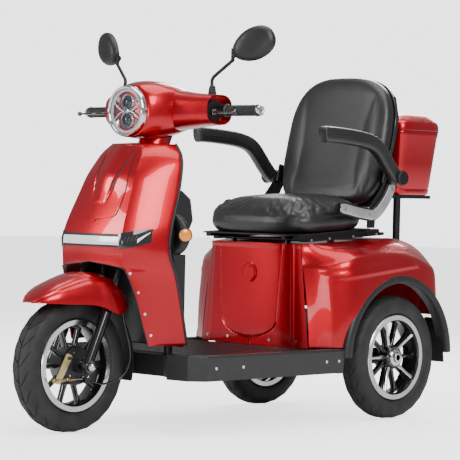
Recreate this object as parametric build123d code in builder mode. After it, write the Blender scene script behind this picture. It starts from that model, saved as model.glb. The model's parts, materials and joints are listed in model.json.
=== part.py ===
"""Three-wheeled mobility scooter: a tube frame with moulded panels, a raked telescopic fork, a
sprung rear axle, a folding captain's seat and a top box. Millimetres, +Z up, front towards -Y."""
import os
from math import cos, radians, sin, tan

from build123d import *

os.makedirs("parts", exist_ok=True)

# ---- driving dimensions ------------------------------------------------------------------------
tyre_diameter = 410.0
tyre_width = 82.0
bead_diameter = 264.0
lip_diameter = 282.0
rim_width = 72.0
wheelbase = 1170.0
rear_track = 576.0
box_overhang = 405.0  # rear axle to the back of the top box

rake = 24.5  # steering axis from vertical, degrees
fork_offset = 30.0  # front axle ahead of the steering axis, measured level
leg_spacing = 160.0
leg_radius = 17.0
stanchion_radius = 12.5
fork_travel = 18.0
stem_radius = 16.0
sleeve_radius = 48.0  # neck between the shield and the headlight pod
front_axle_radius = 6.0
spindle_radius = 10.0

wall = 3.0  # moulded panels
running_clearance = 0.05
seam = 0.4  # gap between neighbouring panels

shield_half = 207.0  # leg shield, centre to its side edge at the widest
box_front_half_top = 199.0  # seat box corners
box_front_half_foot = 239.0
fender_half = 338.0
deck_front_z = 577.0
deck_rear_z = 604.0
skirt_foot_z = 166.0
skirt_top_z = 243.0

seat_width = 464.0
seat_length = 455.0
seat_thickness = 100.0
back_width = 450.0
back_height = 450.0
back_thickness = 92.0
back_lean = 14.3  # degrees from vertical
pivot_radius = 6.0
arm_width = 40.0
arm_pad_length = 350.0

top_box_width = 372.0
top_box_length = 266.0
top_box_height = 222.0
top_box_floor_z = 744.0
lid_height = 58.0

headlight_radius = 79.0
headlight_z = 985.0
bar_radius = 11.0
grip_radius = 16.5
grip_length = 128.0
mirror_width = 148.0
mirror_height = 104.0

# ---- places worked out from them ---------------------------------------------------------------
tyre_r = tyre_diameter / 2
bead_r = bead_diameter / 2
lip_r = lip_diameter / 2
front_axle_y = -(wheelbase + box_overhang - tyre_r) / 2
rear_axle_y = front_axle_y + wheelbase
wheel_x = rear_track / 2
seat_front_y = rear_axle_y - 395
deck_slope = (deck_rear_z - deck_front_z) / 435.0


def f(y):
    """Y of a point y behind the front axle."""
    return front_axle_y + y


def r(y):
    """Y of a point y behind the rear axle (negative is ahead of it)."""
    return rear_axle_y + y


def keep(builder, label):
    """Labels a finished piece and writes its STEP file."""
    builder.part.label = label
    export_step(builder.part, f"parts/{label}.step")


def across(x, y, z):
    """A plane facing +X at (x, y, z), with +Y to the right and +Z up."""
    return Plane(origin=(x, y, z), x_dir=(0, 1, 0), z_dir=(1, 0, 0))


def side_plane(x=0.0):
    """A plane facing +X whose coordinates are the model's own Y and Z."""
    return across(x, 0, 0)


def cross_plane(y):
    """A plane facing -Y whose coordinates are the model's own X and Z."""
    return Plane(origin=(0, y, 0), x_dir=(1, 0, 0), z_dir=(0, -1, 0))


def face_of(points):
    """A flat face bounded by a closed run of straight edges, in sketch coordinates."""
    with BuildSketch() as sketch:
        with BuildLine():
            Polyline(*points, close=True)
        make_face()
    return sketch.sketch


def prism(plane, points, depth, both=False):
    """A straight-sided block: a closed outline on a plane, extruded."""
    with BuildPart() as block:
        with BuildSketch(plane):
            add(face_of(points))
        extrude(amount=depth, both=both)
    return block.part


def ruled(sections):
    """A solid through closed outlines, each a plane and its points, with straight sides."""
    with BuildPart() as body:
        for plane, points in sections:
            with BuildSketch(plane):
                add(face_of(points))
        loft(ruled=True)
    return body.part


def rod(start, end, radius, hollow=0.0):
    """A round bar or tube between two points."""
    line = Vector(*end) - Vector(*start)
    with BuildPart() as bar:
        with BuildSketch(Plane(origin=start, z_dir=line.normalized())):
            Circle(radius)
            if hollow:
                Circle(hollow, mode=Mode.SUBTRACT)
        extrude(amount=line.length)
    return bar.part


def block(low, high):
    """A box between two corners."""
    size = [high[i] - low[i] for i in range(3)]
    with BuildPart() as solid:
        with Locations(tuple((low[i] + high[i]) / 2 for i in range(3))):
            Box(*size)
    return solid.part


def mirrored(solid):
    """The same piece on the other side of the scooter."""
    return mirror(solid, about=Plane.YZ)


def band(points, thickness):
    """A closed outline: a run of points and the same run shifted sideways by a thickness."""
    back = []
    for i, (x, y) in enumerate(points):
        x0, y0 = points[max(i - 1, 0)]
        x1, y1 = points[min(i + 1, len(points) - 1)]
        length = ((x1 - x0) ** 2 + (y1 - y0) ** 2) ** 0.5
        back.append((x - (y1 - y0) / length * thickness, y + (x1 - x0) / length * thickness))
    return points + back[::-1]


def between(table, at, column):
    """Straight-line reading of one column of a table whose first column rises."""
    for low, high in zip(table, table[1:]):
        if at <= high[0]:
            share = (at - low[0]) / (high[0] - low[0])
            return low[column] + share * (high[column] - low[column])
    return table[-1][column]


# ================================================================================================
# Wheels
# ================================================================================================
def tyre(x, y):
    """A scooter tyre seated between the rim's lips."""
    half = tyre_width / 2
    seat = rim_width / 2 - 8
    with BuildPart() as body:
        with BuildSketch(Plane(origin=(x, y, tyre_r), x_dir=(1, 0, 0), z_dir=(0, -1, 0))):
            with BuildLine():
                Polyline(
                    (-half + 8, tyre_r - 11), (-half, tyre_r - 33), (-half + 3, lip_r + 11),
                    (-seat - 1.5, lip_r + 2), (-seat, bead_r), (seat, bead_r),
                    (seat + 1.5, lip_r + 2), (half - 3, lip_r + 11), (half, tyre_r - 33),
                    (half - 8, tyre_r - 11),
                )
                ThreePointArc((half - 8, tyre_r - 11), (0, tyre_r), (-half + 8, tyre_r - 11))
            make_face()
        revolve(axis=Axis((x, y, tyre_r), (1, 0, 0)))
    return body


def rim(x, y, bore_r, hub_r, hub_half, spokes, star=0, drum=0.0):
    """A cast wheel: barrel with lips, spokes and a bored hub, a star face on the side that star
    names (1 or -1) and a brake drum of the given depth in the left face."""
    half = rim_width / 2
    lip = 5.5
    barrel_r = bead_r - running_clearance
    spoke_width = 13.0
    spoke_depth = 20.0
    spoke_mid = (hub_r + bead_r) / 2 - 6
    with BuildPart() as body:
        with BuildSketch(Plane(origin=(x, y, tyre_r), x_dir=(1, 0, 0), z_dir=(0, -1, 0))):
            with BuildLine():
                Polyline(
                    (-half, bead_r - 7), (-half, lip_r), (-half + lip, lip_r),
                    (-half + lip, barrel_r), (half - lip, barrel_r), (half - lip, lip_r),
                    (half, lip_r), (half, bead_r - 7), (half - 14, bead_r - 14),
                    (-half + 14, bead_r - 14), close=True,
                )
            make_face()
        revolve(axis=Axis((x, y, tyre_r), (1, 0, 0)))
        with BuildSketch(across(x - hub_half, y, tyre_r)):
            Circle(hub_r)
        extrude(amount=2 * hub_half)
        with BuildSketch(across(x - spoke_depth / 2, y, tyre_r)):
            with PolarLocations(spoke_mid, spokes, start_angle=18):
                Rectangle(bead_r - hub_r + 4, spoke_width)
        extrude(amount=spoke_depth)
        if star:
            face_x = x + star * spoke_depth / 2 - (1 if star > 0 else 13)
            with BuildSketch(across(face_x, y, tyre_r)):
                with PolarLocations(spoke_mid, 5, start_angle=90):
                    Trapezoid(9, bead_r - hub_r + 6, 88, rotation=90)
            extrude(amount=14)
        with BuildSketch(across(x - hub_half - 1, y, tyre_r)):
            Circle(bore_r)
        extrude(amount=2 * hub_half + 2, mode=Mode.SUBTRACT)
        if drum:
            with BuildSketch(across(x + hub_half - drum, y, tyre_r)):
                Circle(hub_r - 6)
                Circle(bore_r + 8, mode=Mode.SUBTRACT)
            extrude(amount=drum + 1, mode=Mode.SUBTRACT)
    return body


front_tyre = tyre(0, front_axle_y)
keep(front_tyre, "front_tyre")

drum_radius = 60.0
drum_depth = 18.0
front_rim = rim(0, front_axle_y, front_axle_radius + running_clearance, drum_radius, 30, 10, 0, drum_depth)
keep(front_rim, "front_rim")

for side, name in ((1, "left"), (-1, "right")):
    rear_tyre = tyre(side * wheel_x, rear_axle_y)
    keep(rear_tyre, f"rear_tyre_{name}")
    rear_rim = rim(side * wheel_x, rear_axle_y, spindle_radius + running_clearance, 38, 34, 10, side)
    keep(rear_rim, f"rear_rim_{name}")

# ================================================================================================
# Fork: everything here is drawn on the raked steering plane, whose +Z runs up the steering axis
# ================================================================================================
steer_dir = (0, sin(radians(rake)), cos(radians(rake)))
steer_origin = (0, f(fork_offset), tyre_r)
leg_x = leg_spacing / 2
leg_v = -fork_offset * cos(radians(rake))  # legs ahead of the axis, on the steering plane
axle_w = -fork_offset * sin(radians(rake))  # axle's height on the steering axis
crown_w = 396.0
crown_height = 24.0
leg_top_w = 236.0
stem_top_w = 838.0


def steer(w=0.0):
    """The plane across the steering axis, w up it from the axle's level."""
    base = Vector(*steer_origin) + Vector(*steer_dir) * w
    return Plane(origin=base, x_dir=(1, 0, 0), z_dir=steer_dir)


with BuildPart() as fork_stem:
    with BuildSketch(steer(crown_w)):
        RectangleRounded(leg_spacing + 46, 76, 18)
    extrude(amount=crown_height)
    with BuildSketch(steer(crown_w)):
        Circle(stem_radius)
    extrude(amount=stem_top_w - crown_w)
    with BuildSketch(steer(62)):
        with Locations((leg_x, leg_v), (-leg_x, leg_v)):
            Circle(stanchion_radius)
    extrude(amount=crown_w - 62)
keep(fork_stem, "fork_stem")

with BuildPart() as fork_lowers:
    with BuildSketch(steer(axle_w)):
        with Locations((leg_x, leg_v), (-leg_x, leg_v)):
            Circle(leg_radius)
    extrude(amount=leg_top_w - axle_w)
    for side in (1, -1):
        inner = side * (leg_x - leg_radius)
        with BuildSketch(across(min(inner, inner + side * 34), front_axle_y, tyre_r)):
            Circle(leg_radius + 3)
        extrude(amount=34)
    with BuildSketch(steer(28)):
        with Locations((leg_x, leg_v), (-leg_x, leg_v)):
            Circle(stanchion_radius + running_clearance)
    extrude(amount=leg_top_w, mode=Mode.SUBTRACT)
    with BuildSketch(across(-leg_x - 30, front_axle_y, tyre_r)):
        Circle(front_axle_radius)
    extrude(amount=leg_spacing + 60, mode=Mode.SUBTRACT)
keep(fork_lowers, "fork_lowers")

nut_inner = leg_x + leg_radius
with BuildPart() as front_axle:
    with BuildSketch(across(-nut_inner - 14, front_axle_y, tyre_r)):
        Circle(front_axle_radius)
    extrude(amount=2 * nut_inner + 28)
    for start in (nut_inner, -nut_inner - 9):
        with BuildSketch(across(start, front_axle_y, tyre_r)):
            RegularPolygon(11, 6)
        extrude(amount=9)
keep(front_axle, "front_axle")

# ---- front drum brake --------------------------------------------------------------------------
plate_x = 31.0
plate_depth = 7.0
cam_y, cam_z = f(-46), tyre_r + 26
arm_end_y, arm_end_z = f(-95), tyre_r - 40
cam_radius = 5.0
arm_x = 48.0
arm_thickness = 5.0
with BuildPart() as brake_plate:
    with BuildSketch(across(plate_x, front_axle_y, tyre_r)):
        Circle(drum_radius - 2)
        Circle(front_axle_radius, mode=Mode.SUBTRACT)
    extrude(amount=plate_depth)
    with BuildSketch(across(plate_x + plate_depth, front_axle_y, tyre_r)):
        Circle(20)
        Circle(front_axle_radius, mode=Mode.SUBTRACT)
    extrude(amount=leg_x - leg_radius - plate_x - plate_depth)
    with BuildSketch(across(plate_x + plate_depth, cam_y, cam_z)):
        Circle(11)
    extrude(amount=arm_x - plate_x - plate_depth - 0.5)
    with BuildSketch(across(plate_x, cam_y, cam_z)):
        Circle(cam_radius)
    extrude(amount=arm_x + arm_thickness + 5 - plate_x)
    with BuildSketch(across(plate_x + plate_depth, f(30), tyre_r - 45)):
        RectangleRounded(22, 16, 4)
    extrude(amount=16)
keep(brake_plate, "brake_plate")

with BuildPart() as brake_arm:
    with BuildSketch(side_plane(arm_x)):
        with BuildLine():
            FilletPolyline(
                (cam_y - 10, cam_z + 16), (cam_y + 15, cam_z + 6), (arm_end_y + 12, arm_end_z - 13),
                (arm_end_y - 11, arm_end_z - 5), radius=7, close=True,
            )
        make_face()
        with Locations((cam_y, cam_z)):
            Circle(cam_radius + running_clearance, mode=Mode.SUBTRACT)
        with Locations((arm_end_y + 2, arm_end_z + 2)):
            Circle(3.5, mode=Mode.SUBTRACT)
    extrude(amount=arm_thickness)
keep(brake_arm, "brake_arm")

cable_radius = 3.0
cable_points = [
    (leg_x - 2, f(140), 392), (leg_x + 2, f(152), 330), (leg_x + 2, f(176), 262),
    (leg_x, f(186), 200), (leg_x - 12, f(146), 158), (leg_x - 22, f(86), 146), (54, f(42), 158),
]
cable_bends = [90, 100, 80, 34, 60, 50]
with BuildPart() as brake_cable:
    with BuildLine() as cable_path:
        FilletPolyline(*cable_points, radius=cable_bends[:5])
    with BuildSketch(Plane(origin=cable_path.line @ 0, z_dir=cable_path.line % 0)):
        Circle(cable_radius)
    sweep()
keep(brake_cable, "brake_cable")

# ---- front mudguard ----------------------------------------------------------------------------
# station behind the axle, half width, foot height, crown height
fender_rows = [
    (-172, 26, 396, 402), (-135, 58, 396, 428), (-80, 76, 394, 458), (-20, 88, 391, 478),
    (40, 104, 386, 487), (85, 116, 372, 486), (120, 116, 366, 470), (150, 96, 372, 440),
]


def fender_outline(half, foot, top):
    """A closed cross-section of the mudguard: a rounded arch and its inner side."""
    rise = top - foot
    right = [(half, foot), (half * 0.96, foot + rise * 0.5), (half * 0.6, foot + rise * 0.88)]
    inner = [(half - wall, foot), (half * 0.96 - wall, foot + rise * 0.5 - wall * 0.5),
             (half * 0.6 - wall * 0.5, foot + rise * 0.88 - wall)]
    outer = [(-x, z) for x, z in right] + [(0, top)] + right[::-1]
    under = inner + [(0, top - wall)] + [(-x, z) for x, z in inner[::-1]]
    return outer + under


flap_r = tyre_r + 18
with BuildPart() as front_fender:
    add(ruled([(cross_plane(f(y)), fender_outline(h, z0, z1)) for y, h, z0, z1 in fender_rows]))
    with BuildSketch(steer(150)):
        with Locations((leg_x, leg_v), (-leg_x, leg_v)):
            Circle(leg_radius + 2)
    extrude(amount=170, mode=Mode.SUBTRACT)
    with BuildSketch(side_plane(-50)):
        with BuildLine():
            CenterArc((front_axle_y, tyre_r), flap_r, -12, 54)
            CenterArc((front_axle_y, tyre_r), flap_r + wall, -12, 54)
            Line(*[(f(k * cos(radians(-12))), tyre_r + k * sin(radians(-12))) for k in (flap_r, flap_r + wall)])
            Line(*[(f(k * cos(radians(42))), tyre_r + k * sin(radians(42))) for k in (flap_r, flap_r + wall)])
        make_face()
    extrude(amount=100)
keep(front_fender, "front_fender")

# ================================================================================================
# Handlebar, headlight pod and mirrors
# ================================================================================================
bar_z = 992.0
bar_y = f(395)
grip_start_x = 252.0
bar_end_x = grip_start_x + grip_length
sweep_back = 22.0  # how far the grips' ends lie behind the bar's middle
bar_bend_x = 110.0
sweep_slope = sweep_back / (bar_end_x - bar_bend_x)


def on_bar(x):
    """The bar's centre line at x."""
    return (x, bar_y + max(abs(x) - bar_bend_x, 0) * sweep_slope, bar_z)


def bar_plane(x):
    """A plane across the bar at x, facing outward."""
    outward = 1 if x > 0 else -1
    return Plane(origin=on_bar(x), x_dir=(0, 0, 1), z_dir=(outward, sweep_slope, 0))


clamp_w = stem_top_w - 30
with BuildPart() as handlebar:
    with BuildLine() as bar_line:
        FilletPolyline(
            on_bar(-bar_end_x + 6), on_bar(-bar_bend_x), on_bar(bar_bend_x), on_bar(bar_end_x - 6),
            radius=120,
        )
    with BuildSketch(Plane(origin=bar_line.line @ 0, z_dir=bar_line.line % 0)):
        Circle(bar_radius)
    sweep()
    with BuildSketch(steer(clamp_w)):
        Circle(stem_radius + 10)
    extrude(amount=64)
    with BuildSketch(steer(clamp_w - 5)):
        Circle(stem_radius)
    extrude(amount=stem_top_w - clamp_w + 5, mode=Mode.SUBTRACT)
keep(handlebar, "handlebar")


def grip(x, bore):
    """A rubber grip outward from x on the bar, with a flange and a stepped end."""
    with BuildPart() as body:
        with BuildSketch(bar_plane(x)):
            Circle(grip_radius)
        extrude(amount=grip_length - 10)
        with BuildSketch(bar_plane(x)):
            Circle(grip_radius + 4)
        extrude(amount=4)
        with BuildSketch(bar_plane(x).offset(grip_length - 10)):
            Circle(grip_radius - 2)
        extrude(amount=5)
        with BuildSketch(bar_plane(x).offset(-2)):
            Circle(bore)
        extrude(amount=grip_length, mode=Mode.SUBTRACT)
    return body


grip_left = grip(grip_start_x, bar_radius)
keep(grip_left, "grip_left")
throttle_grip = grip(-grip_start_x, bar_radius + running_clearance)
keep(throttle_grip, "throttle_grip")

pod_depth = 22.0
lever_x = 246.0
lever_y = bar_y - 27
lever_z = bar_z - 6
pin_radius = 3.0
lever_half = 4.0
with BuildPart() as switch_pods:
    for side in (1, -1):
        start = side * (grip_start_x - pod_depth - 0.5)
        with BuildSketch(bar_plane(start)):
            RectangleRounded(40, 36, 9)
            Circle(bar_radius, mode=Mode.SUBTRACT)
        extrude(amount=pod_depth)
        for low, high in ((lever_z + lever_half + 0.3, lever_z + 10), (lever_z - 10, lever_z - lever_half - 0.3)):
            with BuildSketch(Plane.XY.offset(low)):
                with Locations((side * (lever_x - 6), lever_y + 4)):
                    Rectangle(18, 22)
            extrude(amount=high - low)
        with BuildSketch(Plane.XY.offset(lever_z - 10)):
            with Locations((side * (lever_x - 6), lever_y)):
                Circle(pin_radius)
        extrude(amount=20)
keep(switch_pods, "switch_pods")

lever_end = (342.0, f(340))
lever_outline = [
    (lever_x - 12, lever_y - 7), (lever_x + 12, lever_y - 24), (lever_end[0] - 20, lever_end[1] - 7),
    (lever_end[0], lever_end[1] - 5), (lever_end[0], lever_end[1] + 5),
    (lever_end[0] - 20, lever_end[1] + 5), (lever_x + 16, lever_y - 10), (lever_x, lever_y + 5),
    (lever_x - 12, lever_y + 5),
]
with BuildPart() as brake_lever_left:
    with BuildSketch(Plane.XY.offset(lever_z - lever_half)):
        with BuildLine():
            FilletPolyline(*lever_outline, radius=2.5, close=True)
        make_face()
        with Locations((lever_x - 6, lever_y)):
            Circle(pin_radius + running_clearance, mode=Mode.SUBTRACT)
    extrude(amount=2 * lever_half)
    with Locations((*lever_end, lever_z)):
        Sphere(8)
keep(brake_lever_left, "brake_lever_left")
with BuildPart() as brake_lever_right:
    add(mirrored(brake_lever_left.part))
keep(brake_lever_right, "brake_lever_right")

# ---- headlight pod: stations behind the front axle with half width, foot and crown --------------
pod_rows = [(229, 74, 911, 1059), (262, 92, 905, 1075), (304, 104, 902, 1082),
            (380, 112, 912, 1076), (444, 106, 936, 1054)]
wing_rows = [(40, 300, 438, 924, 1062), (120, 318, 438, 936, 1048), (236, 346, 444, 947, 1037)]


def octagon(half, low, high, cut=0.3):
    """A rectangle in a cross-section with its corners cut back, centred on zero across."""
    bevel = (high - low) * cut
    side_bevel = half * cut
    right = [(half - side_bevel, low), (half, low + bevel), (half, high - bevel), (half - side_bevel, high)]
    return right + [(-x, z) for x, z in right[::-1]]


def pod_solid(inset):
    """The headlight pod's solid outline, drawn in by an inset."""
    return ruled([(cross_plane(f(y)), octagon(h - inset, z0 + inset, z1 - inset)) for y, h, z0, z1 in pod_rows])


def wing_outline(y0, y1, z0, z1):
    """A wing's cross-section on a side plane, its four corners cut back."""
    b = 14
    return [(f(y0) + b, z0), (f(y1) - b, z0), (f(y1), z0 + b), (f(y1), z1 - b),
            (f(y1) - b, z1), (f(y0) + b, z1), (f(y0), z1 - b), (f(y0), z0 + b)]


def wing_solid(side, inset):
    """One of the pod's side wings, drawn in by an inset."""
    rows = [(x, y0 + inset, y1 - inset, z0 + inset, z1 - inset) for x, y0, y1, z0, z1 in wing_rows]
    return ruled([(side_plane(side * x), wing_outline(*rest)) for x, *rest in rows])


with BuildPart() as nacelle:
    add(pod_solid(0))
    for side in (1, -1):
        add(wing_solid(side, 0))
    add(pod_solid(wall), mode=Mode.SUBTRACT)
    for side in (1, -1):
        add(wing_solid(side, wall), mode=Mode.SUBTRACT)
    with BuildSketch(steer(740)):
        Circle(sleeve_radius - wall)
    extrude(amount=70, mode=Mode.SUBTRACT)
keep(nacelle, "nacelle")

key_x, key_z = -66.0, 962.0
with BuildPart() as dash_cover:
    add(ruled([(cross_plane(f(434)), octagon(101.6, 940, 1050)), (cross_plane(f(446)), octagon(101.6, 940, 1050))]))
    add(block((-44, f(440), 978), (44, f(450), 1030)))
    add(rod((key_x, f(430), key_z), (key_x, f(452), key_z), 11))
    add(rod((key_x, f(425), key_z), (key_x, f(460), key_z), 4 + running_clearance), mode=Mode.SUBTRACT)
keep(dash_cover, "dash_cover")

with BuildPart() as ignition_key:
    add(rod((key_x, f(432), key_z), (key_x, f(456), key_z), 4))
    with BuildSketch(cross_plane(f(470))):
        with Locations((key_x, key_z)):
            SlotOverall(26, 12, rotation=90)
    extrude(amount=17)
keep(ignition_key, "ignition_key")


def ring(y_front, y_back, inner, outer):
    """A ring about the headlight's own level axis."""
    with BuildPart() as hoop:
        with BuildSketch(cross_plane(y_back)):
            with Locations((0, headlight_z)):
                Circle(outer)
                if inner:
                    Circle(inner, mode=Mode.SUBTRACT)
        extrude(amount=y_back - y_front)
    return hoop.part


lamp_front = 212.0
with BuildPart() as headlight_bezel:
    add(ring(f(lamp_front), f(228.6), headlight_radius - 8, headlight_radius))
keep(headlight_bezel, "headlight_bezel")
with BuildPart() as headlight_lens:
    add(ring(f(lamp_front + 3), f(lamp_front + 6), 0, headlight_radius - 8.1))
keep(headlight_lens, "headlight_lens")
with BuildPart() as headlight_reflector:
    add(ring(f(lamp_front + 12), f(lamp_front + 24), 0, 68))
    for z in (headlight_z + 27, headlight_z - 27):
        with BuildSketch(cross_plane(f(lamp_front + 13))):
            with Locations((0, z)):
                Circle(22)
        extrude(amount=6)
keep(headlight_reflector, "headlight_reflector")

# ---- mirrors -----------------------------------------------------------------------------------
stem_foot = (201.0, f(392), 1044.0)
stem_knee = (192.0, f(398), 1092.0)
stem_tip = (258.0, f(421), 1148.0)
mirror_pin = 6.0
boss_low, boss_high = 1156.0, 1186.0
head_centre = (325.0, f(440), 1198.0)
head_yaw = 20.0
with BuildPart() as mirror_stems:
    for side in (1, -1):
        points = [(side * px, py, pz) for px, py, pz in (stem_foot, stem_knee, stem_tip)]
        with BuildLine() as stem_line:
            FilletPolyline(*points, radius=22)
        with BuildSketch(Plane(origin=stem_line.line @ 0, z_dir=stem_line.line % 0)):
            Circle(5.5)
        sweep()
        add(rod(points[0], (side * 198, f(394), 1062), 10))
        add(rod(points[2], (points[2][0], points[2][1], boss_high - 1), mirror_pin))
        with Locations(points[2]):
            Sphere(mirror_pin)
keep(mirror_stems, "mirror_stems")

glass = Plane(
    origin=head_centre, x_dir=(cos(radians(head_yaw)), sin(radians(head_yaw)), 0),
    z_dir=(-sin(radians(head_yaw)), cos(radians(head_yaw)), 0),
)
with BuildPart() as mirror_head_left:
    with BuildSketch(glass.offset(-16)):
        Ellipse(mirror_width / 2 - 26, mirror_height / 2 - 20, rotation=-24)
    with BuildSketch(glass):
        Ellipse(mirror_width / 2, mirror_height / 2, rotation=-24)
    loft()
    with BuildSketch(glass):
        Ellipse(mirror_width / 2, mirror_height / 2, rotation=-24)
    extrude(amount=12)
    with BuildSketch(Plane.XY.offset(boss_low)):
        with Locations((stem_tip[0], stem_tip[1])):
            Circle(mirror_pin + 6)
    extrude(amount=boss_high - boss_low)
    with BuildSketch(Plane.XY.offset(boss_low - 30)):
        with Locations((stem_tip[0], stem_tip[1])):
            Circle(mirror_pin + running_clearance)
    extrude(amount=boss_high - boss_low + 60, mode=Mode.SUBTRACT)
keep(mirror_head_left, "mirror_head_left")
with BuildPart() as mirror_head_right:
    add(mirrored(mirror_head_left.part))
keep(mirror_head_right, "mirror_head_right")

# ================================================================================================
# Frame
# ================================================================================================
tube = 13.0
rail_x = 150.0
rail_z = 205.0
head_low_w = crown_w + crown_height + 4
head_high_w = head_low_w + 330
hinge_pin = 5.0
lug_x = 120.0


def seat(s=0.0, t=0.0):
    """The plane of the seat: s back along the deck's slope, t square to it, drawn with +X first."""
    along = Vector(0, 1, deck_slope).normalized()
    up = Vector(0, -deck_slope, 1).normalized()
    base = Vector(0, seat_front_y + 57, deck_front_z) + along * s + up * t
    return Plane(origin=base, x_dir=(1, 0, 0), z_dir=up)


def seat_point(x, s, t):
    """A point in the seat's own directions, as (x, y, z)."""
    point = seat(s, t).origin
    return (x, point.Y, point.Z)


def seat_block(x0, x1, s0, s1, t0, t1):
    """A box lined up with the seat."""
    with BuildPart() as solid:
        with BuildSketch(seat(0, t0)):
            with Locations(((x0 + x1) / 2, (s0 + s1) / 2)):
                Rectangle(x1 - x0, s1 - s0)
        extrude(amount=t1 - t0)
    return solid.part


def seat_rod(x0, x1, s, t, radius):
    """A round pin along X at a place on the seat."""
    point = seat_point(0, s, t)
    return rod((x0, point[1], point[2]), (x1, point[1], point[2]), radius)


hinge_s, hinge_t = 16.0, 12.0
rear_post_y = r(200)
kick_y = r(-196)
kick_z = 452.0
arm_line_x = 112.0  # middle of each rear swing arm
swing_y, swing_z = kick_y + 6, rail_z + 24
with BuildPart() as main_frame:
    with BuildSketch(steer(head_low_w)):
        Circle(stem_radius + 7)
        Circle(stem_radius + running_clearance, mode=Mode.SUBTRACT)
    extrude(amount=head_high_w - head_low_w)
    for side in (1, -1):
        x = side * rail_x
        with BuildLine() as rail_line:
            FilletPolyline((x, f(275), 656), (x, f(275), rail_z), (x, kick_y, rail_z), (x, kick_y, kick_z),
                           (x, rear_post_y, kick_z), (x, rear_post_y, top_box_floor_z - 12), radius=36)
        with BuildSketch(Plane(origin=rail_line.line @ 0, z_dir=rail_line.line % 0)):
            Circle(tube)
        sweep()
        add(rod((x, r(-328), rail_z), (side * lug_x, r(-328), 538), tube - 3))
    for y, z in ((f(262), 640), (f(330), rail_z), (kick_y - 60, rail_z), (kick_y + 60, kick_z),
                 (rear_post_y - 60, kick_z), (r(-328), rail_z)):
        add(rod((-rail_x, y, z), (rail_x, y, z), tube - 2))
    for side in (1, -1):
        foot = seat_point(0, hinge_s, -48)
        top = seat_point(0, hinge_s, hinge_t)
        with BuildSketch(side_plane(side * lug_x - 4)):
            with BuildLine():
                Polyline((foot[1] - 14, foot[2]), (foot[1] + 14, foot[2]), (top[1] + 8, top[2]),
                         (top[1] - 8, top[2]), close=True)
            make_face()
            with Locations((top[1], top[2])):
                Circle(8)
                Circle(hinge_pin + running_clearance, mode=Mode.SUBTRACT)
        extrude(amount=8)
    add(rod((-lug_x, r(-328), 538), (lug_x, r(-328), 538), tube - 3))
    for side in (1, -1):
        with BuildSketch(across(side * arm_line_x - 5, swing_y, swing_z)):
            Circle(16)
        extrude(amount=10)
        low, high = sorted((side * (arm_line_x - 5), side * rail_x))
        add(block((low, swing_y - 44, swing_z - 8), (high, swing_y - 9, swing_z + 8)))
        add(rod((side * arm_line_x - 6, swing_y, swing_z), (side * arm_line_x + 6, swing_y, swing_z),
                8 + running_clearance), mode=Mode.SUBTRACT)
keep(main_frame, "main_frame")

# ---- rear swing arms with the motor axle, on rubber torsion bushes -----------------------------
with BuildPart() as rear_axle:
    with BuildSketch(across(-wheel_x - 46, rear_axle_y, tyre_r)):
        Circle(spindle_radius)
    extrude(amount=2 * wheel_x + 92)
    with BuildSketch(across(-wheel_x + 36, rear_axle_y, tyre_r)):
        Circle(27)
    extrude(amount=2 * wheel_x - 72)
    with BuildSketch(across(-70, rear_axle_y, tyre_r)):
        Circle(72)
    extrude(amount=150)
    with BuildSketch(across(80, rear_axle_y, tyre_r)):
        Circle(52)
    extrude(amount=60)
    for side in (1, -1):
        add(rod((side * arm_line_x - 13, swing_y, swing_z), (side * arm_line_x + 13, swing_y, swing_z), 8))
        for x in (side * arm_line_x - 13, side * arm_line_x + 7):
            with BuildSketch(side_plane(x)):
                with BuildLine():
                    Polyline((swing_y - 4, swing_z + 13), (swing_y - 4, swing_z - 13),
                             (rear_axle_y, tyre_r - 20), (rear_axle_y, tyre_r + 22), close=True)
                make_face()
            extrude(amount=6)
    for start in (wheel_x + 34.5, -wheel_x - 41.5):
        with BuildSketch(across(start, rear_axle_y, tyre_r)):
            Circle(17)
        extrude(amount=7)
keep(rear_axle, "rear_axle")

with BuildPart() as batteries:
    for x0, x1 in ((-132, -3), (3, 132)):
        add(block((x0, r(-312), rail_z + 16), (x1, kick_y - 78, rail_z + 190)))
    add(block((-134, r(-312), rail_z + 13.4), (134, kick_y - 78, rail_z + 16)))
keep(batteries, "batteries")

# ================================================================================================
# Leg shield: rows by height, with the front line's Y, half width of the flat front, its corner's Y,
# and the side edge's X and Y
# ================================================================================================
shield_rows = [
    (268, 62, 130, 74, 206, 298), (465, 78, 132, 88, shield_half, 248), (541, 75, 134, 86, shield_half, 214),
    (587, 72, 133, 82, 206, 210), (640, 84, 128, 96, 204, 222), (732, 122, 116, 136, 191, 262),
    (785, 141, 106, 158, 182, 280), (827, 170, 98, 186, 173, 292), (860, 194, 86, 208, 156, 300),
    (885, 216, 66, 228, 128, 308),
]


def shield_half_outline(z, out=0.0):
    """The shield's outline at a height, from its middle to its side edge, moved outward."""
    y0, c, yc, s, ys = [between(shield_rows, z, i) for i in range(1, 6)]
    return [(0, f(y0) - out), (c, f(yc) - out), (c + (s - c) * 0.55, f(yc) + (ys - yc) * 0.42 - out * 0.6),
            (s + out, f(ys))]


def shield_band(heights, thickness, out=0.0, reach=3, flare=0.0):
    """A skin that follows the shield between heights, out to one of its outline's points."""
    sections = []
    for z in heights:
        outer = shield_half_outline(z, out)[: reach + 1]
        inner = shield_half_outline(z, out - thickness)[: reach + 1]
        points = [(-x, y) for x, y in outer[:0:-1]] + outer + inner[::-1] + [(-x, y) for x, y in inner[1:]]
        sections.append((Plane.XY.offset(z), points))
    return ruled(sections)


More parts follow.
